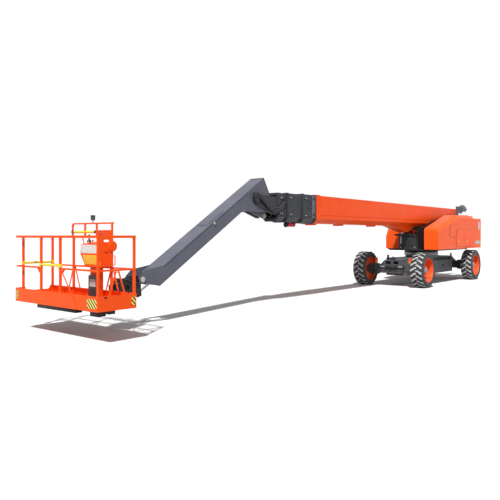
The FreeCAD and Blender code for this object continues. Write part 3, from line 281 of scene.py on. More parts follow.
black_plastic = moulded("black moulded plastic", (0.018, 0.018, 0.02), (0.035, 0.035, 0.038), 0.5, 300.0)
tyre_rubber = moulded("tyre rubber", (0.024, 0.025, 0.028), (0.050, 0.052, 0.056), 0.75, 150.0, 12.0)
# Pale grey for the lug faces: a painted highlight, with some dust.
lug_highlight_and_dust_rubber = moulded("lug rubber with painted highlight and dust", (0.34, 0.34, 0.35), (0.58, 0.58, 0.59), 0.85, 150.0, 16.0)
hose_rubber = moulded("hose rubber", (0.016, 0.016, 0.017), (0.035, 0.035, 0.036), 0.55, 260.0, 20.0)
pale_panel = moulded("pale grey panel", (0.56, 0.55, 0.52), (0.64, 0.62, 0.59), 0.5)
yellow_panel = moulded("yellow panel", (0.90, 0.50, 0.02), (0.93, 0.58, 0.05), 0.45)
amber_plastic = moulded("amber reflector", (0.90, 0.36, 0.03), (0.95, 0.45, 0.06), 0.25, 120.0)
red_plastic = moulded("red push button", (0.55, 0.012, 0.012), (0.62, 0.02, 0.02), 0.35, 120.0)
bronze = moulded("bronze bush", (0.36, 0.32, 0.22), (0.46, 0.42, 0.30), 0.45, 80.0)
grey_plate = moulded("blank grey plate", (0.40, 0.40, 0.40), (0.48, 0.48, 0.48), 0.4, 90.0)
hub_grey = moulded("grey hub enamel", (0.20, 0.215, 0.22), (0.28, 0.29, 0.295), 0.5, 90.0)

finishes = {
    "chassis_frame": chassis_paint_with_painted_light, "front_axle": axle_paint, "rear_axle": axle_paint,
    "front_tie_rod": black_paint, "rear_tie_rod": black_paint, "slew_ring": ring_steel,
    "turntable_frame": black_paint, "turntable_pins": pin_steel, "counterweight": hood_paint_with_reflection,
    "engine": engine_paint, "hydraulic_tank": tank_paint, "left_hood": hood_paint_with_reflection,
    "right_hood": hood_paint_with_reflection, "ground_control_box": black_plastic, "ground_control_lid": hood_paint_with_reflection,
    "boom_base": orange_paint, "boom_section_two": collar_paint, "boom_section_three": collar_paint,
    "boom_head": collar_paint, "boom_pins": pin_steel, "boom_tail_bracket": slate_paint,
    "lift_barrel": orange_paint, "lift_rod": chrome_bar, "jib_arm": slate_paint,
    "jib_barrel": black_paint, "jib_rod": chrome_bar, "level_barrel": black_paint,
    "level_rod": chrome_bar, "level_bracket": black_paint, "platform_mount": black_paint,
    "platform_floor": platform_paint, "platform_rails": platform_paint,
    "front_entry_bar": yellow_paint, "side_entry_bar": yellow_paint,
    "console_stand": platform_paint, "control_console": platform_paint, "work_lamp": black_plastic,
}
for node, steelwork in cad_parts.items():
    finish = finishes.get(node)
    if finish is None:
        kinds = {"rim": rim_paint, "knu": axle_paint, "tyr": tyre_rubber}
        finish = kinds.get(node[:3], hood_paint_with_reflection)
    steelwork.data.materials.clear()
    steelwork.data.materials.append(finish)


# ---- Tyres ----
# Foam-filled earthmover tyres: a rubber carcass with bulged walls and two rows of slanting lugs
# moulded half a pitch apart. Each is pressed on its rim and turns with it.
UP, DOWN, AHEAD, ASTERN, LEFT = (0, 0, 1), (0, 0, -1), (1, 0, 0), (-1, 0, 0), (0, 1, 0)
SQUARE_ON = 0.9
CARCASS_RADIUS, CARCASS_WIDTH = 0.548, 0.385
LUG_COUNT = 20
LUG_STEPS = ((0.040, 0.055, 0.0, 1.08), (0.034, 0.050, -0.002, 1.10), (0.012, 0.042, -0.012, 1.04),
             (0.004, 0.014, -0.050, 0.85))


def new_piece(name):
    """Names the primitive just added and puts its place, turn and size into its mesh."""
    bpy.ops.object.transform_apply(location=True, rotation=True, scale=True)
    piece = bpy.context.active_object
    piece.name = name
    piece.data.name = name
    return piece


def block(name, corner, opposite):
    """Block between two opposite corners, given in either order."""
    size = [abs(b - a) for a, b in zip(corner, opposite)]
    middle = [(a + b) / 2 for a, b in zip(corner, opposite)]
    bpy.ops.mesh.primitive_cube_add(size=1, location=middle, scale=size)
    return new_piece(name)


def bar(name, start, end, radius, sides=24):
    line = Vector(end) - Vector(start)
    bpy.ops.mesh.primitive_cylinder_add(vertices=sides, radius=radius, depth=line.length,
                                        location=(Vector(start) + Vector(end)) / 2,
                                        rotation=line.to_track_quat("Z", "Y").to_euler())
    return new_piece(name)


def make_active(piece):
    if bpy.context.mode != "OBJECT":
        bpy.ops.object.mode_set(mode="OBJECT")
    bpy.ops.object.select_all(action="DESELECT")
    piece.select_set(True)
    bpy.context.view_layer.objects.active = piece


def start_picking(piece, kind):
    """Clears the selection of faces or edges, ready for new ones to be picked."""
    make_active(piece)
    bpy.ops.object.mode_set(mode="EDIT")
    bpy.ops.mesh.select_mode(type=kind)
    bpy.ops.mesh.select_all(action="DESELECT")
    bpy.ops.object.mode_set(mode="OBJECT")


def pick_faces(piece, wanted):
    """Edit mode with only the faces whose middle and normal pass the test selected."""
    start_picking(piece, "FACE")
    for face in piece.data.polygons:
        face.select = wanted(face.center, face.normal)
    bpy.ops.object.mode_set(mode="EDIT")


def facing(direction):
    """Test for faces that look along a direction."""
    toward = Vector(direction)
    return lambda middle, normal: normal.dot(toward) > SQUARE_ON


def facing_either(direction):
    """Test for faces that look along a direction or against it."""
    toward = Vector(direction)
    return lambda middle, normal: abs(normal.dot(toward)) > SQUARE_ON


def every_face(middle, normal):
    return True


def inset(rim, depth=0.0):
    bpy.ops.mesh.inset(thickness=rim, depth=depth)


def extrude(move, grow=(1, 1, 1)):
    bpy.ops.mesh.extrude_region_move(TRANSFORM_OT_translate={"value": move})
    if grow != (1, 1, 1):
        bpy.ops.transform.resize(value=grow)


def leave_edit():
    bpy.ops.object.mode_set(mode="OBJECT")


def roll_edges(piece, width, segments=2, angle=35):
    """Rounds the sharp edges with an applied bevel and shades the rest smooth."""
    make_active(piece)
    bevel = piece.modifiers.new("rolled edges", "BEVEL")
    bevel.width = width
    bevel.segments = segments
    bevel.limit_method = "ANGLE"
    bevel.angle_limit = math.radians(angle)
    bpy.ops.object.modifier_apply(modifier=bevel.name)
    bpy.ops.object.shade_smooth_by_angle(angle=math.radians(40))
    return piece


def copied(piece, name, move):
    """A copy with its own mesh, moved or mirrored by a matrix."""
    other = piece.copy()
    other.data = piece.data.copy()
    other.name = name
    bpy.context.scene.collection.objects.link(other)
    other.data.transform(move)
    if move.determinant() < 0:
        other.data.flip_normals()
    return other


def joined(pieces):
    make_active(pieces[0])
    for piece in pieces[1:]:
        piece.select_set(True)
    bpy.ops.object.join()
    return pieces[0]


def repeated(piece, moves):
    """The piece and its copies at further places, joined."""
    return joined([piece] + [copied(piece, piece.name, Matrix.Translation(move)) for move in moves])


def settle(piece, material, body):
    if not piece.data.materials:
        piece.data.materials.append(material)
    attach(piece, body)
    return piece


def middle_of(node):
    low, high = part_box(node)
    return (Vector(low) + Vector(high)) / 2


def tyre_at(centre):
    bpy.ops.mesh.primitive_cylinder_add(vertices=72, radius=CARCASS_RADIUS, depth=CARCASS_WIDTH,
                                        location=centre, rotation=(math.radians(90), 0, 0))
    carcass = new_piece("tyre")
    pick_faces(carcass, facing_either(LEFT))
    inset(0.045, 0.030)
    inset(0.040)
    inset(0.050, -0.012)
    inset(0.017, -0.006)
    bpy.ops.mesh.bridge_edge_loops()
    leave_edit()
    roll_edges(carcass, 0.008, 2, 20)
    carcass.data.materials.append(tyre_rubber)
    low = centre + Vector((-0.036, -0.014, 0.530))
    lug = block("lug", low, centre + Vector((0.036, 0.045, 0.5735)))
    pick_faces(lug, facing(LEFT))
    for step_x, step_y, step_z, wider in LUG_STEPS:
        extrude((step_x, step_y, step_z), (wider, 1, 1))
    leave_edit()
    roll_edges(lug, 0.006, 1)
    for rubber in (tyre_rubber, lug_highlight_and_dust_rubber):
        lug.data.materials.append(rubber)
    # The outward faces of the lugs take the pale rubber: a painted highlight on the tread, with some dust.
    for face in lug.data.polygons:
        face.material_index = int(face.normal.z > 0.75)
    pitch = 2 * math.pi / LUG_COUNT
    turn = Matrix.Translation(centre) @ Matrix.Rotation(pitch / 2, 4, "Y")
    other = copied(lug, "lug", turn @ Matrix.Diagonal((1, -1, 1, 1)) @ Matrix.Translation(-centre))
    rows = joined([lug, other])
    pick_faces(rows, every_face)
    bpy.ops.mesh.spin(steps=LUG_COUNT - 1, dupli=True, angle=pitch * (LUG_COUNT - 1), center=centre,
                      axis=(0, 1, 0))
    leave_edit()
    return joined([carcass, rows])


WHEELS = ("front_left", "front_right", "rear_left", "rear_right")
first_centre = middle_of("tyre_front_left")
first_tyre = tyre_at(first_centre)
tyres = {"front_left": first_tyre}
for corner in WHEELS[1:]:
    shift = middle_of("tyre_" + corner) - first_centre
    tyres[corner] = copied(first_tyre, "tyre", Matrix.Translation(shift))
for corner, tyre in tyres.items():
    tyre.name = "lugged_tyre_" + corner
    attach(tyre, "wheel_" + corner)
    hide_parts("tyre_" + corner)


# ---- Hubs ----
# A grey enamelled cap over each wheel motor, held by cap screws, and the wheel nuts that clamp the
# rim's disc to it.
def at(x, y, z):
    """A place measured from the slewing axis."""
    return Vector((x + SLEW_X, y, z))


def bolt_heads(name, places, out, radius=0.014, height=0.012):
    """Hexagon heads with rolled corners, each on its washer, standing on a plate that faces out."""
    out = Vector(out)
    first = Vector(places[0])
    head = bar(name, first, first + out * height, radius, 6)
    pick_faces(head, facing(out))
    inset(radius * 0.18, radius * 0.12)
    pick_faces(head, facing(-out))
    inset(radius * 0.02)
    leave_edit()
    washer = bar(name, first - out * 0.001, first + out * height * 0.25, radius * 1.45, 16)
    roll_edges(washer, height * 0.08, 1)
    head = joined([head, washer])
    return repeated(head, [Vector(place) - first for place in places[1:]])


def ring_places(centre, ring, count, across):
    """Evenly spaced places round an axle that lies along Y, or round an upright axis."""
    places = []
    for number in range(count):
        turn = 2 * math.pi * number / count
        swing = ring * math.cos(turn), ring * math.sin(turn)
        step = (swing[0], 0, swing[1]) if across else (swing[0], swing[1], 0)
        places.append(centre + Vector(step))
    return places


CAP_RADIUS = 0.134
CAP_SCREWS, CAP_SCREW_RING = 12, 0.122
WHEEL_NUTS, WHEEL_NUT_RING = 10, 0.200


def hub_trim_at(centre):
    cap = bar("hub_trim", centre + Vector((0, -0.016, 0)), centre + Vector((0, 0.030, 0)), CAP_RADIUS, 36)
    pick_faces(cap, facing(LEFT))
    inset(0.024)
    extrude((0, 0.095, 0), (0.97, 1, 0.97))
    inset(0.030, 0.016)
    inset(0.030, -0.004)
    leave_edit()
    roll_edges(cap, 0.003)
    cap.data.materials.append(hub_grey)
    screw_ring = ring_places(centre + Vector((0, 0.030, 0)), CAP_SCREW_RING, CAP_SCREWS, True)
    screws = bolt_heads("screws", screw_ring, LEFT, 0.008, 0.008)
    screws.data.materials.append(pin_steel)
    nut_ring = ring_places(centre + Vector((0, -0.062, 0)), WHEEL_NUT_RING, WHEEL_NUTS, True)
    nuts = bolt_heads("nuts", nut_ring, LEFT, 0.019, 0.022)
    nuts.data.materials.append(pin_steel)
    return joined([cap, screws, nuts])


first_hub = middle_of("tyre_front_left") + Vector((0, -0.007, 0))
first_trim = hub_trim_at(first_hub)
trims = {"front_left": first_trim}
for corner in WHEELS[1:]:
    place = middle_of("tyre_" + corner)
    side = 1 if place.y > 0 else -1
    move = Matrix.Translation((place.x - first_hub.x, 0, 0)) @ Matrix.Diagonal((1, side, 1, 1))
    trims[corner] = copied(first_trim, "hub_trim", move)
for corner, trim in trims.items():
    trim.name = "hub_trim_" + corner
    settle(trim, hub_grey, "wheel_" + corner)


# ---- Steering gear and axle fittings ----
# A double-ended steering ram is clamped across each axle, above the track rod. Valves with orange
# handles and amber caps stand on the beam's ends, and a junction block on its crown.
def pick_edges(piece, wanted):
    """Edit mode with only the edges whose two ends pass the test selected."""
    start_picking(piece, "EDGE")
    points = [vertex.co for vertex in piece.data.vertices]
    for edge in piece.data.edges:
        edge.select = wanted(points[edge.vertices[0]], points[edge.vertices[1]])
    bpy.ops.object.mode_set(mode="EDIT")


def stepped_bar(name, start, end, radius, steps, sides=28):
    """Turned bar: a cylinder whose far end is drawn on in steps of (length, growth)."""
    line = (Vector(end) - Vector(start)).normalized()
    piece = bar(name, start, end, radius, sides)
    pick_faces(piece, facing(line))
    for length, growth in steps:
        extrude(line * length, (growth, growth, growth))
    leave_edit()
    return piece


RAM_Z = 0.66
axle_boxes = {1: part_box("front_axle"), -1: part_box("rear_axle")}
for end, (axle_low, axle_high) in axle_boxes.items():
    face = axle_high[0] if end > 0 else axle_low[0]
    ram_x = face + end * 0.050
    ram = bar("ram", (ram_x, -0.22, RAM_Z), (ram_x, 0.22, RAM_Z), 0.040, 32)
    pick_faces(ram, facing_either(LEFT))
    inset(0.006, 0.012)
    inset(0.008)
    leave_edit()
    roll_edges(ram, 0.002)
    clamps = []
    for y in (-0.17, 0.17):
        clamp = block("clamp", (face, y - 0.03, RAM_Z - 0.048), (ram_x, y + 0.03, RAM_Z + 0.048))
        pick_faces(clamp, facing((end, 0, 0)))
        inset(0.012)
        extrude((end * 0.022, 0, 0), (1, 0.9, 0.7))
        leave_edit()
        clamps.append(roll_edges(clamp, 0.004))
    eyes = [roll_edges(bar("eye", (ram_x, y, RAM_Z - 0.030), (ram_x, y, RAM_Z + 0.030), 0.030, 20), 0.004)
            for y in (-0.43, 0.43)]
    steering = joined([ram] + clamps + eyes)
    steering.name = "steering_ram_front" if end > 0 else "steering_ram_rear"
    settle(steering, black_paint, "chassis")
    rods = joined([stepped_bar("rod", (ram_x, y, RAM_Z), (ram_x, y * 1.75, RAM_Z), 0.016, [(0.012, 0.8)])
                   for y in (-0.23, 0.23)])
    rods.name = "steering_rods_front" if end > 0 else "steering_rods_rear"
    settle(rods, chrome_bar, "chassis")

axle_x = (axle_boxes[1][0][0] + axle_boxes[1][1][0]) / 2
valve_parts = []
amber_parts = []
for y in (-0.60, 0.60):
    handle = block("handle", (axle_x + 0.02, y - 0.045, 0.765), (axle_x + 0.034, y + 0.045, 0.93))
    pick_faces(handle, facing(UP))
    extrude((0, 0, 0.03), (1, 0.55, 1))
    pick_faces(handle, facing_either(AHEAD))
    inset(0.010, -0.002)
    leave_edit()
    valve_parts.append(roll_edges(handle, 0.003))
    cap = stepped_bar("cap", (axle_x + 0.06, y, 0.757), (axle_x + 0.06, y, 0.80), 0.024,
                      [(0.012, 1.25), (0.020, 1.0), (0.012, 0.6)])
    amber_parts.append(roll_edges(cap, 0.002))
settle(joined(valve_parts), platform_paint, "chassis").name = "axle_valve_handles"
settle(joined(amber_parts), amber_plastic, "chassis").name = "axle_valve_caps"

crown = block("crown_block", (axle_x - 0.07, -0.075, 0.88), (axle_x + 0.07, 0.055, 0.955))
pick_faces(crown, facing(UP))
inset(0.018)
extrude((0, 0, 0.035), (0.8, 0.8, 1))
leave_edit()
roll_edges(crown, 0.006)
settle(crown, black_plastic, "chassis").name = "axle_junction_block"


def pipe(name, points, radius, order=3):
    """Bent tube that follows a smooth line near the points, closed at its ends."""
    bpy.ops.curve.primitive_nurbs_path_add(location=(0, 0, 0))
    line = bpy.context.active_object
    spline = line.data.splines[0]
    extra = len(points) - len(spline.points)
    if extra > 0:
        spline.points.add(extra)
    line.data.dimensions = "3D"
    for number, point in enumerate(spline.points):
        point.co = (*points[min(number, len(points) - 1)], 1)
    spline.order_u = order
    spline.use_endpoint_u = True
    spline.resolution_u = 6
    line.data.bevel_depth = radius
    line.data.bevel_resolution = 3
    line.data.use_fill_caps = True
    bpy.ops.object.convert(target="MESH")
    piece = new_piece(name)
    bpy.ops.object.shade_smooth_by_angle(angle=math.radians(50))
    return piece


FRAME_SIDE = 0.47
PIPE_ROWS = (0.80, 0.835, 0.87)
SADDLE_PLACES = (-1.5, -0.75, 0.0, 0.75, 1.5)
SLEW_BOLTS, SLEW_BOLT_RING = 32, 0.581
runs = []
for z in PIPE_ROWS:
    for side in (-1, 1):
        y = side * (FRAME_SIDE + 0.016)
        runs.append(pipe("run", [at(-1.86, y, z), at(-1.2, y, z), at(0.0, y, z), at(1.2, y, z),
                                 at(1.86, y, z)], 0.011))
for x in SADDLE_PLACES:
    for side in (-1, 1):
        saddle = block("saddle", at(x - 0.02, side * FRAME_SIDE, 0.782),
                       at(x + 0.02, side * (FRAME_SIDE + 0.034), 0.890))
        pick_faces(saddle, facing_either(LEFT))
        inset(0.008, -0.002)
        leave_edit()
        runs.append(roll_edges(saddle, 0.003))
settle(joined(runs), black_paint, "chassis").name = "chassis_pipe_runs"

slew_places = ring_places(at(0, 0, slew_low[2]), SLEW_BOLT_RING, SLEW_BOLTS, False)
slew_bolts = bolt_heads("slew_ring_bolts", slew_places, DOWN, 0.013, 0.016)
settle(slew_bolts, pin_steel, "chassis")

rings = []
for x in (-1.78, 1.78):
    for y in (-0.4575, 0.4575):
        bpy.ops.mesh.primitive_torus_add(location=at(x, y, 0.950), rotation=(math.radians(90), 0, 0),
                                         major_radius=0.046, minor_radius=0.009, major_segments=28,
                                         minor_segments=10)
        ring = new_piece("ring")
        pick_faces(ring, lambda middle, normal: middle.z < 0.930)
        extrude((0, 0, -0.012))
        leave_edit()
        rings.append(ring)
settle(joined(rings), pin_steel, "chassis").name = "lashing_rings"


# ---- Turntable front ----
# A folded black tread plate lies over the oil tank, with the filler cap, and a level gauge and a
# cover on its face. Rubber-sheathed pipes rise beside it; a valve bank and a filter stand ahead.
tank_low, tank_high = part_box("hydraulic_tank")
ledge = block("tank_ledge", (tank_low[0] - 0.02, -0.42, tank_high[2] + 0.001),
              (tank_high[0] + 0.055, 0.392, tank_high[2] + 0.026))
pick_faces(ledge, facing(UP))
inset(0.016, -0.003)
pick_faces(ledge, facing(DOWN))
bpy.ops.mesh.bisect(plane_co=(tank_high[0] + 0.035, 0, 0), plane_no=(1, 0, 0))
pick_faces(ledge, lambda middle, normal: normal.z < -SQUARE_ON and middle.x > tank_high[0] + 0.035)
extrude((0, 0, -0.045))
leave_edit()
roll_edges(ledge, 0.003)
settle(ledge, black_paint, "turntable")

filler = stepped_bar("tank_filler_cap", (tank_high[0] - 0.10, -0.18, tank_high[2] + 0.024),
                     (tank_high[0] - 0.10, -0.18, tank_high[2] + 0.042), 0.052,
                     [(0.0, 0.8), (0.018, 1.0), (0.0, 1.25), (0.016, 1.0), (0.005, 0.9)], 18)
roll_edges(filler, 0.0015, 1)
settle(filler, pin_steel, "turntable")

gauge = block("tank_gauge", (tank_high[0], -0.215, 1.42), (tank_high[0] + 0.016, -0.175, 1.64))
pick_faces(gauge, facing(AHEAD))
inset(0.008)
extrude((-0.008, 0, 0))
leave_edit()
roll_edges(gauge, 0.002)
settle(gauge, pale_panel, "turntable")

face_places = [(tank_high[0], y, z) for y in (-0.21, 0.30) for z in (1.29, 1.69)]
cover_bolts = bolt_heads("tank_cover_bolts", face_places, (1, 0, 0), 0.012, 0.010)
settle(cover_bolts, pin_steel, "turntable")
cover = block("tank_cover", (tank_high[0], -0.13, 1.31), (tank_high[0] + 0.010, 0.24, 1.66))
pick_faces(cover, facing(AHEAD))
inset(0.022)
inset(0.010, 0.006)
leave_edit()
roll_edges(cover, 0.003)
settle(cover, tank_paint, "turntable")

RISERS, RISER_PITCH, RISER_Y = 4, 0.055, 0.376
riser_places = [tank_low[0] - 0.10 - RISER_PITCH * number for number in range(RISERS)]
risers = [pipe("riser", [(x, RISER_Y, 1.27), (x, RISER_Y, 1.50), (x, RISER_Y, 1.72),
                         (x - 0.02, RISER_Y, 1.80), (x - 0.16, RISER_Y, 1.85),
                         (x - 0.55, RISER_Y, 1.86)], 0.014) for x in riser_places]
nuts = [roll_edges(bar("nut", (x, RISER_Y, 1.245), (x, RISER_Y, 1.285), 0.022, 6), 0.002)
        for x in riser_places]
settle(joined(risers + nuts), hose_rubber, "turntable").name = "turntable_pipes"

valve = block("valve_bank", at(0.30, -0.36, 1.226), at(0.72, -0.12, 1.34))
pick_faces(valve, facing(UP))
bpy.ops.mesh.subdivide(number_cuts=3)
bpy.ops.mesh.select_mode(type="FACE")
bpy.ops.mesh.inset(thickness=0.008, depth=0.0, use_individual=True)
extrude((0, 0, 0.030))
leave_edit()
roll_edges(valve, 0.003)
settle(valve, pin_steel, "turntable")

drain = stepped_bar("return_filter", at(0.56, 0.12, 1.226), at(0.56, 0.12, 1.44), 0.072,
                    [(0.0, 0.82), (0.02, 1.0), (0.0, 1.28), (0.05, 1.0), (0.02, 0.8)])
roll_edges(drain, 0.004)
settle(drain, black_plastic, "turntable")


# ---- Hoods and doors ----
# Pressed steel doors shut against black rubber seals and close with paddle latches. Amber
# reflectors are riveted to the doors, and louvres are pressed into the rear ones.
def frame_strip(name, low, high, wide, out):
    """Seal round an opening in a side skin: a flat block whose middle is opened by inset and bridge."""
    strip = block(name, low, high)
    pick_faces(strip, facing_either(LEFT))
    inset(wide)
    bpy.ops.mesh.bridge_edge_loops()
    leave_edit()
    return roll_edges(strip, out, 1)


LATCH_Z = 1.65
HINGE_HEIGHTS = (1.40, 1.83)
DOORS = ("left_front_door", "left_rear_door", "right_front_door", "right_rear_door")
left_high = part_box("left_hood")[1]
for door in DOORS:
    low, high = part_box(door)
    side = 1 if low[1] > 0 else -1
    skin = side * left_high[1]
    seal = frame_strip("seal_" + door, (low[0] - 0.005, skin, low[2] - 0.005),
                       (high[0] + 0.005, skin + side * 0.006, high[2] + 0.005), 0.0045, 0.001)
    settle(seal, black_plastic, "turntable")
    outer = side * max(abs(low[1]), abs(high[1]))
    free = low[0] + 0.075 if "front" in door else high[0] - 0.075
    latch = block("latch_" + door, (free - 0.034, outer, LATCH_Z - 0.04),
                  (free + 0.034, outer + side * 0.010, LATCH_Z + 0.04))
    pick_faces(latch, facing((0, side, 0)))
    inset(0.010, -0.004)
    pick_faces(latch, lambda middle, normal: normal.y * side > SQUARE_ON and abs(middle.z - LATCH_Z) < 0.02)
    inset(0.012)
    extrude((0, side * 0.010, 0), (0.8, 1, 0.5))
    leave_edit()
    roll_edges(latch, 0.002)
    settle(latch, hood_paint_with_reflection, door)
    hinge_x = high[0] - 0.012 if "front" in door else low[0] + 0.012
    leaf = (-0.028, 0.010) if "front" in door else (-0.010, 0.028)
    knuckles = []
    for z in HINGE_HEIGHTS:
        knuckle = block("hinge", (hinge_x + leaf[0], outer, z - 0.05),
                        (hinge_x + leaf[1], outer + side * 0.006, z + 0.05))
        pick_faces(knuckle, facing((0, side, 0)))
        inset(0.006, 0.002)
        leave_edit()
        knuckles.append(roll_edges(knuckle, 0.002))
    settle(joined(knuckles), hood_paint_with_reflection, door).name = "hinge_leaves_" + door
    amber_x = high[0] - 0.24 if "front" in door else high[0] - 0.27
    amber = block("reflector_" + door, (amber_x - 0.055, outer, 1.455),
                  (amber_x + 0.055, outer + side * 0.008, 1.505))
    pick_faces(amber, facing((0, side, 0)))
    inset(0.007, -0.002)
    leave_edit()
    roll_edges(amber, 0.002)
    settle(amber, amber_plastic, door)

lid_low, lid_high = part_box("ground_control_lid")
lid_seal = frame_strip("seal_ground_controls", (lid_low[0] - 0.014, lid_low[1] - 0.0003, lid_low[2] - 0.014),
                       (lid_high[0] + 0.014, lid_low[1] + 0.006, lid_high[2] + 0.004), 0.013, 0.0015)
settle(lid_seal, black_plastic, "turntable")
strap = block("hood_stay", at(-1.25, 1.201, 1.17), at(-1.225, 1.209, 1.33))
pick_faces(strap, facing(DOWN))
extrude((0.03, 0, -0.03))
extrude((0.03, 0, 0.0))
leave_edit()
roll_edges(strap, 0.002)
settle(strap, black_plastic, "turntable")

tail_cap = block("tail_cap", at(-2.56, 0.92, 2.352), at(-2.42, 1.06, 2.40))
pick_faces(tail_cap, facing(UP))
inset(0.02)
extrude((0, 0, 0.05), (0.7, 0.7, 1))
leave_edit()
roll_edges(tail_cap, 0.006)
settle(tail_cap, black_plastic, "turntable")

LOUVRES, LOUVRE_PITCH, LOUVRE_BOTTOM = 7, 0.045, 1.36
louvres = []
for side in (-1, 1):
    for number in range(LOUVRES):
        z = LOUVRE_BOTTOM + LOUVRE_PITCH * number
        low = at(-2.02, 1.212 if side > 0 else -1.224, z)
        blade = block("louvre", low, low + Vector((0.34, 0.012, 0.030)))
        pick_faces(blade, facing(UP))
        bpy.ops.transform.translate(value=(0, -side * 0.010, 0))
        leave_edit()
        louvres.append((side, roll_edges(blade, 0.002, 1)))
for side, door in ((1, "left_rear_door"), (-1, "right_rear_door")):
    rows = joined([blade for blade_side, blade in louvres if blade_side == side])
    settle(rows, hood_paint_with_reflection, door).name = "louvres_" + door


# ---- Counterweight fittings ----
# The casting carries a red lamp and a lifting eye at each rear corner, a double row of bolts, and
# blank pale plates on its left side.
SIDES = ((-1, "right"), (1, "left"))
weight_low, weight_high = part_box("counterweight")
for side, word in SIDES:
    lens = block("tail_lamp", (weight_low[0] - 0.022, side * 0.84, 1.42), (weight_low[0], side * 1.02, 1.50))
    pick_faces(lens, facing(ASTERN))
    inset(0.012)
    extrude((-0.006, 0, 0), (1, 0.9, 0.8))
    leave_edit()
    roll_edges(lens, 0.004)
    settle(lens, red_plastic, "turntable").name = "tail_lamp_" + word
    lifting = block("lifting_eye", (weight_low[0] + 0.30, side * 0.93 - 0.02, weight_high[2]),
                    (weight_low[0] + 0.44, side * 0.93 + 0.02, weight_high[2] + 0.07))
    pick_faces(lifting, facing(UP))
    extrude((0, 0, 0.045), (0.55, 1, 1))
    pick_faces(lifting, lambda middle, normal: abs(normal.y) > SQUARE_ON and middle.z < weight_high[2] + 0.08)
    inset(0.018)
    bpy.ops.mesh.bridge_edge_loops()
    leave_edit()
    roll_edges(lifting, 0.004)
    settle(lifting, hood_paint_with_reflection, "turntable").name = "lifting_eye_" + word
rear_bolts = bolt_heads("counterweight_bolts", [(weight_low[0], y, z) for y in (-0.45, -0.15, 0.15, 0.45)
                                                for z in (1.30, 1.52)], (-1, 0, 0), 0.026, 0.022)
settle(rear_bolts, pin_steel, "turntable")


def side_plate(name, x, z, half_x, half_z, material, corner):
    y = weight_high[1]
    plate = block(name, (x - half_x, y, z - half_z), (x + half_x, y + 0.004, z + half_z))
    pick_edges(plate, lambda a, b: abs(a.y - b.y) > 0.003)
    bpy.ops.mesh.bevel(offset=corner, segments=6)
    pick_faces(plate, facing(LEFT))
    inset(0.008, -0.001)
    leave_edit()
    roll_edges(plate, 0.0008, 1)
    return settle(plate, material, "turntable")


side_plate("counterweight_plate_upper", weight_low[0] + 0.32, 2.085, 0.085, 0.155, pale_panel, 0.06)
side_plate("counterweight_plate_lower", weight_low[0] + 0.47, 1.437, 0.27, 0.062, grey_plate, 0.012)


# ---- Boom base fittings ----
# Weld beads along the doubler plates, pad screws round the front band, and the black link chain
# that carries the hoses along the right side to the moving sections.
base_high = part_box("boom_base")[1]
band_x = base_high[0] - 0.08
band_y = 0.296
screw_places = [(band_x + dx, band_y, z) for dx in (-0.045, 0.045) for z in (2.22, 2.36, 2.54, 2.68)]
left_screws = bolt_heads("screws", screw_places, (0, 1, 0), 0.013, 0.012)
right_screws = copied(left_screws, "screws", Matrix.Diagonal((1, -1, 1, 1)))
top_places = [(band_x, y, 2.786) for y in (-0.2, -0.1, 0.1, 0.2)]
top_screws = bolt_heads("screws", top_places, UP, 0.013, 0.012)
settle(joined([left_screws, right_screws, top_screws]), orange_paint, "boom").name = "boom_band_screws"

beads = []
for side in (-1, 1):
    for z in (2.2585, 2.764):
        bead = bar("bead", at(-2.92, side * 0.283, z), at(7.43, side * 0.283, z), 0.0055, 10)
        pick_faces(bead, facing_either(AHEAD))
        inset(0.002, 0.002)
        leave_edit()
        bpy.ops.object.shade_smooth_by_angle(angle=math.radians(60))
        beads.append(bead)
settle(joined(beads), orange_paint, "boom").name = "boom_weld_beads"

LINKS, LINK_PITCH = 88, 0.1
first_link = at(-2.25, -0.385, 2.44)
link = block("link", first_link, first_link + Vector((0.082, 0.092, 0.12)))
pick_faces(link, facing_either(LEFT))
inset(0.020, -0.008)
pick_faces(link, facing(AHEAD))
extrude((0.014, 0, 0), (1, 0.8, 0.7))
leave_edit()
chain = repeated(link, [Vector((LINK_PITCH * number, 0, 0)) for number in range(1, LINKS)])
settle(chain, black_plastic, "boom").name = "hose_chain"
tray = block("hose_chain_tray", at(-2.28, -0.392, 2.425), at(6.60, -0.290, 2.438))
pick_faces(tray, facing(UP))
bpy.ops.mesh.bisect(plane_co=(0, -0.380, 0), plane_no=(0, 1, 0))
pick_faces(tray, lambda middle, normal: normal.z > SQUARE_ON and middle.y < -0.380)
extrude((0, 0, 0.05))
leave_edit()
roll_edges(tray, 0.002, 1)
settle(tray, orange_paint, "boom")

tail_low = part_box("boom_tail_bracket")[0]
tail_bolts = bolt_heads("tail_bracket_bolts", [(x, 0.48, z) for x in (tail_low[0] + 0.06, tail_low[0] + 0.28)
                                               for z in (2.72, 2.82)], (0, 1, 0), 0.018, 0.016)
settle(tail_bolts, pin_steel, "boom")
tail_hoses = [pipe("tail", [(tail_low[0] + 0.34, 0.40 + dy, 2.885), (tail_low[0] + 0.30, 0.40 + dy, 2.93),
                            (tail_low[0] + 0.16, 0.42 + dy, 2.935), (tail_low[0] + 0.02, 0.44 + dy, 2.90),
                            (tail_low[0] + 0.0, 0.45 + dy, 2.80)], 0.016) for dy in (-0.05, 0.0)]
settle(joined(tail_hoses), hose_rubber, "boom").name = "tail_pipes"


# ---- Sliding sections ----
# Each collar is stiffened by welded hoops at its ends and holds its wear pads with adjuster plates,
# two to a side and two on top, each with a pair of set screws.
def collar_hoop(x0, x1, half_y, low_z, high_z, wall):
    hoop = block("hoop", (x0, -half_y, low_z), (x1, half_y, high_z))
    pick_edges(hoop, lambda a, b: abs(a.x - b.x) > 0.01 and a.z < low_z + 0.01)
    bpy.ops.mesh.bevel(offset=0.113, segments=1)
    pick_faces(hoop, facing_either(AHEAD))
    inset(wall)
    bpy.ops.mesh.bridge_edge_loops()
    leave_edit()
    return roll_edges(hoop, 0.003, 1)


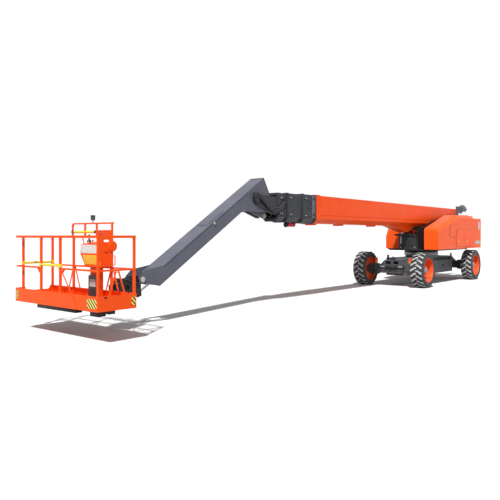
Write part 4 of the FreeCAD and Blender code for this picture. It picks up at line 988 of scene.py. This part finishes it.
def pad_plate(x, y, z, out):
    out = Vector(out)
    half = Vector((0.055, 0.045, 0.045)) + out * -0.045
    half = Vector((0.055, abs(half.y), abs(half.z)))
    place = Vector((x, y, z))
    grown = Vector([h if abs(o) < 0.5 else 0 for h, o in zip(half, out)])
    plate = block("pad", place - grown, place + grown + out * 0.014)
    pick_faces(plate, facing(out))
    inset(0.010, 0.003)
    leave_edit()
    roll_edges(plate, 0.002, 1)
    screws = bolt_heads("screw", [place + out * 0.015 + Vector((dx, 0, 0)) for dx in (-0.026, 0.026)], out,
                        0.011, 0.014)
    plate.data.materials.append(collar_paint)
    screws.data.materials.append(pin_steel)
    return [plate, screws]


SECTIONS = (("boom_two", 7.64, 8.26, 0.280, 2.030, 2.770), ("boom_three", 8.30, 8.92, 0.266, 2.044, 2.756),
            ("boom_end", 8.96, 9.29, 0.248, 2.062, 2.738))
HOOP_RIM, HOOP_LENGTH = 0.012, 0.05
for body, back, front, half_y, low_z, high_z in SECTIONS:
    pieces = []
    for x0, x1 in ((back, back + HOOP_LENGTH), (front - HOOP_LENGTH, front)):
        pieces.append(collar_hoop(SLEW_X + x0, SLEW_X + x1, half_y + HOOP_RIM, low_z - HOOP_RIM,
                                  high_z + HOOP_RIM, HOOP_RIM + 0.003))
        pieces[-1].data.materials.append(collar_paint)
    pad_x = SLEW_X + front - 0.125
    for y, out in ((half_y, 1), (-half_y, -1)):
        for z in (low_z + 0.19, high_z - 0.10):
            pieces += pad_plate(pad_x, y, z, (0, out, 0))
    for y in (-0.15, 0.15):
        pieces += pad_plate(pad_x, y, high_z, (0, 0, 1))
    settle(joined(pieces), collar_paint, body).name = "collar_fittings_" + body

rib_pieces = []
strip_pieces = []
for side in (-1, 1):
    for z in (2.22, 2.42, 2.60):
        rib = block("rib", at(7.87, side * 0.280, z - 0.012), at(8.06, side * 0.292, z + 0.012))
        pick_faces(rib, facing((0, side, 0)))
        inset(0.005, 0.002)
        leave_edit()
        rib_pieces.append(roll_edges(rib, 0.002, 1))
    strip = block("strip", at(7.705, side * 0.280, 2.165), at(7.835, side * 0.297, 2.735))
    pick_faces(strip, facing((0, side, 0)))
    inset(0.008, 0.003)
    leave_edit()
    strip.data.materials.append(slate_paint)
    strip_screws = bolt_heads("screw", [at(7.77, side * 0.299, z) for z in (2.25, 2.66)], (0, side, 0),
                              0.026, 0.016)
    strip_screws.data.materials.append(black_paint)
    strip_pieces += [roll_edges(strip, 0.002, 1), strip_screws]
settle(joined(rib_pieces), collar_paint, "boom_two").name = "collar_ribs"
settle(joined(strip_pieces), slate_paint, "boom_two").name = "collar_pad_strips"


# ---- Boom head ----
# Pin covers with a ring of screws, rubber-sheathed pipes clamped along the fork's left arm, and
# folded plates over the fork's top. A guide roller hangs under the collar behind, on section three.
pivot = at(10.11, 0, 2.56)
for side, word in SIDES:
    face_y = side * 0.2505
    cover_face = pivot + Vector((0, face_y + side * 0.014, 0))
    cover = bar("cover", pivot + Vector((0, face_y, 0)), cover_face, 0.095, 36)
    pick_faces(cover, facing((0, side, 0)))
    inset(0.028)
    inset(0.010, 0.012)
    leave_edit()
    roll_edges(cover, 0.002)
    ring = ring_places(cover_face, 0.080, 6, True)
    screws = bolt_heads("screw", ring, (0, side, 0), 0.010, 0.010)
    settle(joined([cover, screws]), collar_paint, "boom_end").name = "jib_pin_cover_" + word

HEAD_PIPES = ((0.000, 0.020), (0.048, 0.022), (0.094, 0.016))
head_runs = []
for drop, radius in HEAD_PIPES:
    y = 0.262 + radius * 0.3
    head_runs.append(pipe("run", [at(8.99, y, 2.58 - drop), at(9.10, y + 0.004, 2.50 - drop),
                                  at(9.24, y + 0.006, 2.40 - drop), at(9.42, y + 0.01, 2.36 - drop),
                                  at(9.62, y + 0.02, 2.41 - drop), at(9.84, y + 0.03, 2.55 - drop),
                                  at(10.02, y + 0.03, 2.67 - drop * 0.9),
                                  at(10.16, y + 0.01, 2.71 - drop * 0.8),
                                  at(10.24, y - 0.01, 2.69 - drop * 0.8)], radius))
settle(joined(head_runs), hose_rubber, "boom_end").name = "head_pipes_left"
head_clamps = []
for x, z in ((9.03, 2.52), (9.50, 2.34)):
    clamp = block("clamp", at(x - 0.014, 0.246, z - 0.085), at(x + 0.014, 0.296, z + 0.085))
    pick_faces(clamp, facing(LEFT))
    inset(0.008)
    extrude((0, 0.006, 0), (0.8, 1, 0.9))
    leave_edit()
    head_clamps.append(roll_edges(clamp, 0.003, 1))
settle(joined(head_clamps), black_paint, "boom_end").name = "head_pipe_clamps"

roller = stepped_bar("guide_roller", at(8.40, 0.10, 1.982), at(8.73, 0.10, 1.982), 0.052,
                     [(0.0, 0.9), (0.006, 1.0)])
roll_edges(roller, 0.003)
settle(roller, red_paint, "boom_three")
roller_cap = stepped_bar("guide_roller_cap", at(8.736, 0.10, 1.982), at(8.770, 0.10, 1.982), 0.066,
                         [(0.0, 0.6), (0.008, 1.0)])
roll_edges(roller_cap, 0.003)
hangers = []
for x in (8.42, 8.71):
    hanger = block("hanger", at(x - 0.012, 0.045, 1.97), at(x + 0.012, 0.155, 2.042))
    pick_faces(hanger, facing(DOWN))
    extrude((0, 0, -0.04), (1, 0.5, 1))
    leave_edit()
    hangers.append(roll_edges(hanger, 0.003))
settle(joined([roller_cap] + hangers), black_paint, "boom_three")

covers = []
for x0, x1, z in ((9.30, 9.44, 2.640), (9.02, 9.26, 2.739)):
    plate = block("plate", at(x0, -0.20, z), at(x1, 0.20, z + 0.012))
    pick_faces(plate, facing_either(LEFT))
    extrude((0, 0, -0.02), (0.9, 1.06, 1))
    pick_faces(plate, facing(UP))
    inset(0.02, 0.006)
    leave_edit()
    covers.append(roll_edges(plate, 0.004))
settle(joined(covers), black_paint, "boom_end").name = "head_cover_plates"


# ---- Jib fittings ----
# The root box is edged by a thick bent plate that turns over its apex, painted black: painted shade,
# as its rear face lies in shadow. A weld flange runs under the root, a small catch stands on the side,
# and bronze bushes face the jib cylinder's lugs.
JIB_LEAN = math.radians(31.4)


def jib_place(along, y, up):
    """A place measured along and above the jib's line from its pivot pin."""
    x = along * math.cos(JIB_LEAN) + up * math.sin(JIB_LEAN)
    z = -along * math.sin(JIB_LEAN) + up * math.cos(JIB_LEAN)
    return pivot + Vector((x, y, z))


def turned(piece, angle, place):
    """Tips a piece made level round a line along Y through its place."""
    make_active(piece)
    bpy.ops.object.mode_set(mode="EDIT")
    bpy.ops.mesh.select_all(action="SELECT")
    bpy.ops.transform.rotate(value=angle, orient_axis="Y", center_override=place)
    leave_edit()
    return piece


def folded_plate(name, corners, half_y, wall, round_off):
    """Strip folded along a side outline: a narrow plane whose end edge is drawn from corner to corner."""
    first = corners[0]
    bpy.ops.mesh.primitive_plane_add(size=1, location=first + Vector((0.005, 0, 0)))
    strip = new_piece(name)
    pick_faces(strip, every_face)
    bpy.ops.transform.resize(value=(0.01, 2 * half_y, 1), center_override=first + Vector((0.005, 0, 0)))
    pick_edges(strip, lambda a, b: a.x > first.x + 0.005 and b.x > first.x + 0.005)
    bpy.ops.transform.translate(value=corners[1] - first - Vector((0.01, 0, 0)))
    for start, end in zip(corners[1:], corners[2:]):
        bpy.ops.mesh.extrude_edges_move(TRANSFORM_OT_translate={"value": end - start})
    leave_edit()
    solid = strip.modifiers.new("wall", "SOLIDIFY")
    solid.thickness = wall
    solid.offset = 1
    solid.use_even_offset = True
    bpy.ops.object.modifier_apply(modifier=solid.name)
    pick_faces(strip, every_face)
    bpy.ops.mesh.normals_make_consistent(inside=False)
    leave_edit()
    return roll_edges(strip, round_off, 3)


apex = jib_place(-0.53, 0, 0.274) + Vector((-0.010, 0, 0.008))
knee = at(9.516, 0, 2.625)
EDGE_WALL = 0.028
edge_parts_black_for_shade = [folded_plate("jib_edge_plate", [jib_place(-0.485, 0, 0.276), apex, apex.lerp(knee, 0.12)],
                           0.203, EDGE_WALL, 0.012)]
for side in (-1, 1):
    aside = Vector((0, side * 0.181, 0))
    strip_corners = [apex.lerp(knee, 0.11) + aside, apex.lerp(knee, 0.13) + aside, knee + aside]
    edge_parts_black_for_shade.append(folded_plate("jib_edge_strip", strip_corners, 0.022, EDGE_WALL, 0.008))
# Black paint on the edge plate and its strips is painted shade.
settle(joined(edge_parts_black_for_shade), black_paint, "jib")

flanges = []
for side in (-1, 1):
    y0, y1 = sorted((side * 0.198, side * 0.210))
    flange = block("flange", at(9.60, y0, 2.262), at(10.62, y1, 2.282))
    pick_faces(flange, facing(AHEAD))
    bpy.ops.transform.translate(value=(0.03, 0, 0))
    leave_edit()
    flanges.append(roll_edges(flange, 0.003, 1))
    rail = block("rail", jib_place(0.2, y0, 0.256), jib_place(0.2, y0, 0.256) + Vector((3.0, 0.012, 0.014)))
    pick_faces(rail, facing_either(AHEAD))
    inset(0.002, 0.002)
    leave_edit()
    flanges.append(turned(roll_edges(rail, 0.003, 1), -JIB_LEAN, jib_place(0.2, y0, 0.256)))
settle(joined(flanges), slate_paint, "jib").name = "jib_weld_flanges"

catch_place = jib_place(1.50, 0.2, 0.215)
catch = block("catch", catch_place, catch_place + Vector((0.05, 0.030, 0.045)))
pick_faces(catch, facing(LEFT))
inset(0.010)
extrude((0, 0.016, 0), (0.7, 1, 0.7))
leave_edit()
catch = turned(roll_edges(catch, 0.003), -JIB_LEAN, catch_place)
settle(catch, bronze, "jib").name = "jib_catch"

lid_place = jib_place(1.05, -0.14, 0.274)
lid = block("jib_top_cover", lid_place, lid_place + Vector((0.62, 0.28, 0.010)))
pick_faces(lid, facing(UP))
inset(0.03, 0.004)
leave_edit()
lid = turned(roll_edges(lid, 0.004), -JIB_LEAN, lid_place)
settle(lid, slate_paint, "jib")

bushes = []
for side in (-1, 1):
    eye = at(9.66, side * 0.101, 2.18)
    bush = stepped_bar("bush", eye, eye + Vector((0, side * 0.020, 0)), 0.060, [(0.0, 0.6), (0.012, 1.0)])
    bushes.append(roll_edges(bush, 0.003))
settle(joined(bushes), bronze, "jib").name = "jib_eye_bushes"

tip = at(13.508, 0, 0.889)
for side, word in SIDES:
    face_y = side * 0.2125
    cover = bar("cover", tip + Vector((0, face_y, 0)), tip + Vector((0, face_y + side * 0.010, 0)), 0.055, 28)
    pick_faces(cover, facing((0, side, 0)))
    inset(0.016, 0.004)
    leave_edit()
    roll_edges(cover, 0.002)
    screws = bolt_heads("screw", ring_places(tip + Vector((0, face_y + side * 0.010, 0)), 0.044, 4, True),
                        (0, side, 0), 0.007, 0.007)
    settle(joined([cover, screws]), pin_steel, "level_bracket").name = "level_pin_cover_" + word


# ---- Rotator ----
# The platform rotator's motor stands on its housing with a ring of screws round it, and two
# rubber-sheathed pipes come to its ports from the link plates.
rotator = at(13.978, 0, 0.809)
motor = stepped_bar("rotator_motor", rotator + Vector((0, 0, 0.001)), rotator + Vector((0, 0, 0.02)), 0.100,
                    [(0.0, 0.62), (0.055, 1.0), (0.0, 0.85), (0.035, 1.0), (0.01, 0.8)])
roll_edges(motor, 0.003)
motor.data.materials.append(black_paint)
motor_screws = bolt_heads("screw", ring_places(rotator + Vector((0, 0, 0.020)), 0.082, 8, False), (0, 0, 1),
                          0.010, 0.010)
motor_screws.data.materials.append(pin_steel)
settle(joined([motor, motor_screws]), black_paint, "level_bracket")
ports = []
for side in (-1, 1):
    y = side * 0.045
    steps = ((-0.02, y, 0.088), (-0.10, y * 1.5, 0.10), (-0.20, y * 2.4, 0.09), (-0.30, y * 2.6, 0.04),
             (-0.40, y * 2.6, 0.02))
    ports.append(pipe("port", [rotator + Vector(step) for step in steps], 0.013))
settle(joined(ports), hose_rubber, "level_bracket").name = "rotator_pipes"


# ---- Hazard stripes ----
# Yellow and black bands painted across small plates at the platform's corners, so that the edge of
# the basket is seen while it swings.
def diagonal_stripes_group():
    group, entry, leave = new_group(
        "Diagonal Stripes",
        [("Place", "NodeSocketVector", None), ("Direction", "NodeSocketVector", (0, 1, 1)),
         ("Bands Per Metre", "NodeSocketFloat", 14.0), ("Light Band", "NodeSocketColor", (0.9, 0.6, 0.05, 1)),
         ("Dark Band", "NodeSocketColor", (0.02, 0.02, 0.02, 1)), ("Wear", "NodeSocketFloat", 0.3)],
        [("Color", "NodeSocketColor"), ("Roughness", "NodeSocketFloat"), ("Height", "NodeSocketFloat")])
    along = group.nodes.new("ShaderNodeVectorMath")
    along.operation = "DOT_PRODUCT"
    group.links.new(entry.outputs["Place"], along.inputs[0])
    group.links.new(entry.outputs["Direction"], along.inputs[1])
    steps = sum_node(group, "MULTIPLY", along.outputs["Value"], entry.outputs["Bands Per Metre"])
    band = sum_node(group, "GREATER_THAN", sum_node(group, "FRACT", steps, 0.0), 0.5)
    bands = mix_node(group, band, entry.outputs["Light Band"], entry.outputs["Dark Band"])
    scuffs = spread_node(group, noise_node(group, entry.outputs["Place"], 30.0, 5), 0.55, 0.75)
    scuffs = sum_node(group, "MULTIPLY", scuffs, entry.outputs["Wear"])
    group.links.new(mix_node(group, scuffs, bands, (0.35, 0.33, 0.30, 1)), leave.inputs["Color"])
    group.links.new(sum_node(group, "ADD", scuffs, 0.4), leave.inputs["Roughness"])
    group.links.new(scuffs, leave.inputs["Height"])
    return group


diagonal_stripes = diagonal_stripes_group()


def striped(name, direction):
    material, tree, shader, place = blank_material(name)
    look = place_group(tree, diagonal_stripes, place, {"Light Band": (0.90, 0.72, 0.12),
                                                       "Dark Band": (0.015, 0.015, 0.016)})
    look.inputs["Direction"].default_value = direction
    wire_look(tree, look, shader, 0.1, 0.0005)
    return material


front_stripes = striped("front hazard stripes", (0, 1, 1))
side_stripes = striped("side hazard stripes", (-1, 0, 1))


def thin_plate(name, low, high, across, material, corner=0.008):
    """Flat plate with rounded corners and a rolled rim; across is the axis through its thickness."""
    plate = block(name, low, high)
    thin = high[across] - low[across]
    pick_edges(plate, lambda a, b: abs(a[across] - b[across]) > thin * 0.9)
    bpy.ops.mesh.bevel(offset=corner, segments=3)
    pick_faces(plate, lambda middle, normal: abs(normal[across]) > SQUARE_ON)
    inset(0.003, 0.0003)
    leave_edit()
    roll_edges(plate, 0.0006, 1)
    return settle(plate, material, "platform")


floor_low, floor_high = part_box("platform_floor")
FRONT_X = floor_high[0]
SIDE_Y = floor_high[1]
thin_plate("stripes_front_left", (FRONT_X, 0.945, 0.582), (FRONT_X + 0.003, 1.195, 0.730), 0, front_stripes)
thin_plate("stripes_front_right", (FRONT_X, -1.200, 0.582), (FRONT_X + 0.003, -1.120, 0.730), 0,
           front_stripes)
for side, word in ((1, "left"), (-1, "right")):
    y0, y1 = sorted((side * SIDE_Y, side * (SIDE_Y + 0.003)))
    thin_plate("stripes_side_" + word, (8.612, y0, 0.588), (8.692, y1, 0.722), 1, side_stripes)


# ---- Entry bar grips ----
# Each entry bar is sleeved in yellow foam between black rubber end stops, so that it shows where the
# way in is. The sleeve rises with its bar.
for body in ("front_entry_bar", "side_entry_bar"):
    low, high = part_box(body)
    middle = (Vector(low) + Vector(high)) / 2
    along = Vector((1, 0, 0)) if body == "side_entry_bar" else Vector((0, 1, 0))
    reach = (Vector(high) - Vector(low)).dot(along) / 2 - 0.058
    sleeve = stepped_bar("sleeve", middle - along * reach, middle + along * reach, 0.021,
                         [(0.0, 0.92), (0.002, 0.9)])
    sleeve.data.materials.append(yellow_paint)
    stops = []
    for way in (-1, 1):
        outward = along * way
        stop = bar("stop", middle + outward * (reach + 0.002), middle + outward * (reach + 0.024), 0.025, 24)
        pick_faces(stop, facing_either(along))
        inset(0.004, 0.001)
        leave_edit()
        stop.data.materials.append(black_plastic)
        stops.append(roll_edges(stop, 0.002, 1))
    grip = joined([roll_edges(sleeve, 0.002, 1)] + stops)
    settle(grip, yellow_paint, body).name = "grip_" + body


# ---- Operator's console ----
# A folded steel box on its column: a pale switch panel above a yellow one, both blank, two
# joysticks in rubber bellows, a push button, toggles, and a guard over the top whose holes are
# black discs on its face: painted shade.
def face_panel(name, middle, half_y, half_z, angle, material):
    middle = Vector(middle)
    panel = block(name, middle - Vector((0.002, half_y, half_z)), middle + Vector((0.004, half_y, half_z)))
    pick_edges(panel, lambda a, b: abs(a.x - b.x) > 0.005)
    bpy.ops.mesh.bevel(offset=0.010, segments=3)
    pick_faces(panel, facing(AHEAD))
    inset(0.006, 0.001)
    leave_edit()
    roll_edges(panel, 0.0008, 1)
    return settle(turned(panel, angle, middle), material, "platform")


CONSOLE_TIP_X = 8.921
face_panel("console_upper_panel", (CONSOLE_TIP_X - 0.0145, 0.388, 1.482), 0.262, 0.072, math.radians(10.6),
           pale_panel)
face_panel("console_lower_panel", (CONSOLE_TIP_X - 0.026, 0.424, 1.304), 0.224, 0.082, math.radians(-14.4),
           yellow_panel)
console_lip = block("console_lip", (8.700, 0.118, 1.186), (8.874, 0.655, 1.204))
pick_faces(console_lip, facing(AHEAD))
extrude((0.010, 0, 0), (1, 0.98, 0.4))
leave_edit()
roll_edges(console_lip, 0.003)
settle(console_lip, platform_paint, "platform")

for number, (x, y) in enumerate(((8.80, 0.22), (8.80, 0.54))):
    bellows = stepped_bar("bellows", (x, y, 1.592), (x, y, 1.604), 0.040,
                          [(0.0, 0.86), (0.008, 1.08), (0.007, 0.80), (0.007, 1.10),
                           (0.007, 0.72), (0.010, 0.5)])
    lever = stepped_bar("lever", (x, y, 1.64), (x, y, 1.685), 0.009,
                        [(0.004, 1.9), (0.022, 1.1), (0.010, 0.85), (0.005, 0.5)], 20)
    stick = joined([roll_edges(bellows, 0.0015, 1), roll_edges(lever, 0.0015, 1)])
    settle(stick, black_plastic, "platform").name = "joystick_" + str(number + 1)
stop_base = stepped_bar("stop_base", (8.84, 0.38, 1.592), (8.84, 0.38, 1.604), 0.026, [(0.0, 0.8)])
settle(roll_edges(stop_base, 0.0015, 1), yellow_panel, "platform")
stop_head = stepped_bar("stop_button", (8.84, 0.38, 1.604), (8.84, 0.38, 1.620), 0.013,
                        [(0.0, 1.5), (0.010, 1.0), (0.004, 0.7)])
settle(roll_edges(stop_head, 0.0015, 1), red_plastic, "platform")
toggles = []
TOGGLE_PLACES = ((8.86, 0.155), (8.86, 0.29), (8.86, 0.47), (8.86, 0.61), (8.76, 0.38), (8.76, 0.33),
                 (8.76, 0.43))
for x, y in TOGGLE_PLACES:
    collar = bar("collar", (x, y, 1.594), (x, y, 1.606), 0.008, 6)
    pick_faces(collar, facing(UP))
    inset(0.003)
    extrude((0.002, 0, 0.022), (1.2, 1.2, 1))
    leave_edit()
    toggles.append(roll_edges(collar, 0.0008, 1))
settle(joined(toggles), pin_steel, "platform").name = "console_toggles"

disc = bar("console_side_disc", (8.672, 0.6835, 1.53), (8.672, 0.706, 1.53), 0.090, 40)
pick_faces(disc, facing(LEFT))
inset(0.012, 0.004)
inset(0.040, -0.003)
leave_edit()
roll_edges(disc, 0.003)
settle(disc, platform_paint, "platform")

guard = block("console_top_guard", (8.602, 0.20, 1.706), (8.652, 0.61, 1.802))
pick_faces(guard, facing_either(AHEAD))
inset(0.012)
leave_edit()
roll_edges(guard, 0.004)
# The guard is left solid; each hole is a black disc set into its face, painted shade.
HOLES_ACROSS, HOLE_PITCH = 9, 0.040
painted_hole_shades = []
for row, z in enumerate((1.738, 1.772)):
    for number in range(HOLES_ACROSS):
        y = 0.245 + HOLE_PITCH * number + 0.010 * row
        hole = bar("hole", (8.6515, y, z), (8.6535, y, z), 0.010, 14)
        pick_faces(hole, facing(AHEAD))
        inset(0.002, -0.001)
        leave_edit()
        painted_hole_shades.append(hole)
settle(guard, platform_paint, "platform")
settle(joined(painted_hole_shades), black_plastic, "platform").name = "console_guard_painted_hole_shade"

hand_bar = bar("hand_bar", (8.621, -0.50, 1.772), (8.621, 0.15, 1.772), 0.022, 28)
pick_faces(hand_bar, facing_either(LEFT))
inset(0.004, 0.002)
leave_edit()
settle(roll_edges(hand_bar, 0.002), yellow_paint, "platform")
for number, y in enumerate((-0.515, 0.165)):
    end = stepped_bar("hand_bar_end", (8.621, y - 0.03, 1.772), (8.621, y + 0.02, 1.772), 0.026,
                      [(0.0, 0.9), (0.010, 1.0), (0.0, 0.6)])
    settle(roll_edges(end, 0.002), black_plastic, "platform").name = "hand_bar_end_" + str(number + 1)
stays = []
for y in (-0.09, 0.10):
    stays.append(stepped_bar("stay", (8.650, y - 0.10, 1.695), (8.740, y + 0.08, 1.555), 0.012,
                             [(0.004, 0.8)], 16))
settle(joined(stays), platform_paint, "platform").name = "console_stays"

manual_box = block("manual_box", (8.7055, 0.135, 0.64), (8.756, 0.405, 1.03))
pick_edges(manual_box, lambda a, b: abs(a.x - b.x) > 0.02)
bpy.ops.mesh.bevel(offset=0.020, segments=4)
pick_faces(manual_box, facing(AHEAD))
inset(0.012)
extrude((0.006, 0, 0), (1, 0.95, 0.97))
leave_edit()
roll_edges(manual_box, 0.003)
settle(manual_box, black_plastic, "platform")
face_panel("manual_box_panel", (8.7625, 0.270, 0.90), 0.085, 0.065, 0.0, grey_plate)


# ---- Platform fittings ----
# Chequered floor with non-slip studs, gussets beside the entries, a folded strut on the toe board,
# bearers under the floor and the harness anchor rings on the mid rail.
deck_low = floor_low[2] + 0.0245
stud = block("stud", (floor_low[0] + 0.055, -SIDE_Y + 0.055, deck_low),
             (floor_low[0] + 0.075, -SIDE_Y + 0.085, deck_low + 0.005))
pick_faces(stud, facing(UP))
bpy.ops.transform.resize(value=(0.5, 0.7, 1))
leave_edit()
STUD_ROWS, STUD_ROW_PITCH = 13, 0.052
STUDS_ALONG, STUD_PITCH = 40, 0.0585
studs = [Vector((STUD_ROW_PITCH * row, STUD_PITCH * number, 0)) for row in range(STUD_ROWS)
         for number in range(STUDS_ALONG)]
settle(repeated(stud, studs[1:]), platform_paint, "platform").name = "floor_studs"

beams = []
BEARERS = (((9.125, -0.66, 0.455), (9.255, 0.50, 0.538)), ((9.105, 0.88, 0.445), (9.250, 1.10, 0.538)))
for low, high in BEARERS:
    beam = block("beam", low, high)
    pick_faces(beam, facing_either(LEFT))
    inset(0.012, -0.030)
    leave_edit()
    beams.append(roll_edges(beam, 0.005))
settle(joined(beams), black_paint, "platform").name = "floor_bearers"


def corner_gusset(y, toward, z):
    """Three-cornered plate under a rail against its post: a block with one lower edge drawn in."""
    plate = block("gusset", (9.318, y, z - 0.10), (9.324, y + toward * 0.10, z))
    pick_edges(plate, lambda a, b: max(a.z, b.z) < z - 0.09 and abs(a.x - b.x) > 0.005
               and abs(a.y - y) > 0.05 and abs(b.y - y) > 0.05)
    bpy.ops.transform.translate(value=(0, -toward * 0.05, 0.05))
    leave_edit()
    return roll_edges(plate, 0.001, 1)


gussets = [corner_gusset(-0.464, -1, 1.166), corner_gusset(0.224, 1, 1.166)]
settle(joined(gussets), platform_paint, "platform").name = "mid_rail_gussets"
toe_strut = bar("toe_strut", (FRONT_X + 0.006, 0.56, 0.765), (FRONT_X + 0.006, 0.66, 0.545), 0.0065, 10)
pick_faces(toe_strut, lambda middle, normal: abs(normal.z) > 0.8)
inset(0.002, 0.002)
leave_edit()
settle(toe_strut, platform_paint, "platform")
# A black plate on the side toe board stands for the dark of a slot: painted shade.
toe_slot_shade = block("toe_slot_painted_shade", (9.175, SIDE_Y - 0.002, 0.735), (9.225, SIDE_Y + 0.002, 0.762))
pick_faces(toe_slot_shade, facing(LEFT))
inset(0.006, -0.002)
leave_edit()
settle(toe_slot_shade, black_plastic, "platform")

anchors = []
for y in (-0.95, 0.80):
    plate = block("anchor_plate", (8.640, y - 0.03, 1.120), (8.646, y + 0.03, 1.175))
    bpy.ops.mesh.primitive_torus_add(major_radius=0.024, minor_radius=0.0045, major_segments=24,
                                     minor_segments=8, location=(8.654, y, 1.122),
                                     rotation=(0, math.radians(78), 0))
    ring = new_piece("anchor_ring")
    pick_faces(ring, lambda middle, normal: middle.z < 1.122)
    bpy.ops.transform.translate(value=(0.003, 0, -0.008))
    leave_edit()
    bpy.ops.object.shade_smooth_by_angle(angle=math.radians(60))
    anchors += [roll_edges(plate, 0.001, 1), ring]
settle(joined(anchors), pin_steel, "platform").name = "harness_anchors"

lamp_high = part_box("work_lamp")[1]
lamp_middle = middle_of("work_lamp")
bezel = stepped_bar("work_lamp_bezel", Vector((lamp_middle.x, lamp_middle.y, lamp_high[2] - 0.022)),
                    Vector((lamp_middle.x, lamp_middle.y, lamp_high[2] - 0.002)), 0.0415,
                    [(0.0, 0.94), (0.003, 1.0), (0.004, 0.75)])
settle(roll_edges(bezel, 0.001, 1), black_plastic, "platform")


# ---- Camera, light and floor ----
# A level camera to the machine's front left at eye height. An overhead lamp throws the shadow on a
# white floor, a low soft one fills from the front left, and the background is plain white.
CAMERA_PLACE = (14.567, 8.421, 1.712)
CAMERA_BEARING = 130.32
camera_data = bpy.data.cameras.new("camera")
camera_data.lens = 40.94
camera_data.sensor_width = 36
camera_data.shift_x = 0.0264
camera_data.shift_y = -0.0293
camera_data.clip_end = 200
camera = bpy.data.objects.new("camera", camera_data)
camera.location = CAMERA_PLACE
camera.rotation_euler = (math.radians(90), 0, math.radians(CAMERA_BEARING))
bpy.context.scene.collection.objects.link(camera)
bpy.context.scene.camera = camera


def sun_lamp(name, from_direction, energy, spread):
    data = bpy.data.lights.new(name, "SUN")
    data.energy = energy
    data.angle = math.radians(spread)
    lamp = bpy.data.objects.new(name, data)
    lamp.rotation_euler = Vector(from_direction).to_track_quat("Z", "Y").to_euler()
    bpy.context.scene.collection.objects.link(lamp)


sun_lamp("overhead lamp", (0.75, 0.42, 1), 3.9, 3)
sun_lamp("front left fill", (0.5, 0.85, 0.22), 0.6, 40)

def seen_by_eye(tree):
    """One on rays that the eye follows, straight, mirrored or through glass, and nought on others."""
    rays = tree.nodes.new("ShaderNodeLightPath")
    seen_rays = sum_node(tree, "MAXIMUM", rays.outputs["Is Camera Ray"], rays.outputs["Is Glossy Ray"])
    return sum_node(tree, "MAXIMUM", seen_rays, rays.outputs["Is Transmission Ray"])


world = bpy.data.worlds.new("studio")
bpy.context.scene.world = world
world.use_nodes = True
world_tree = world.node_tree
background = world_tree.nodes["Background"]
background.inputs["Color"].default_value = (0.96, 0.98, 1, 1)
background.inputs["Strength"].default_value = 0.22
seen = world_tree.nodes.new("ShaderNodeBackground")
seen.inputs["Color"].default_value = (1, 1, 1, 1)
seen.inputs["Strength"].default_value = 1.0
chooser = world_tree.nodes.new("ShaderNodeMixShader")
world_tree.links.new(seen_by_eye(world_tree), chooser.inputs["Fac"])
world_tree.links.new(background.outputs[0], chooser.inputs[1])
world_tree.links.new(seen.outputs[0], chooser.inputs[2])
world_tree.links.new(chooser.outputs[0], world_tree.nodes["World Output"].inputs["Surface"])

bpy.ops.mesh.primitive_plane_add(size=400, location=(0, 0, 0))
floor = bpy.context.active_object
floor.name = "studio_floor"
floor_paint, floor_tree, floor_shader, floor_place = blank_material("pale floor")
floor_tone = mix_node(floor_tree, noise_node(floor_tree, floor_place, 0.6, 3),
                      (0.97, 0.97, 0.97, 1), (0.99, 0.99, 0.99, 1))
floor_tone = mix_node(floor_tree, seen_by_eye(floor_tree), (0.5, 0.5, 0.5, 1), floor_tone)
floor_tree.links.new(floor_tone, floor_shader.inputs["Base Color"])
floor_shader.inputs["Roughness"].default_value = 1.0
floor_shader.inputs["Specular IOR Level"].default_value = 0.0
floor.data.materials.append(floor_paint)

bpy.context.scene.view_settings.view_transform = "Standard"
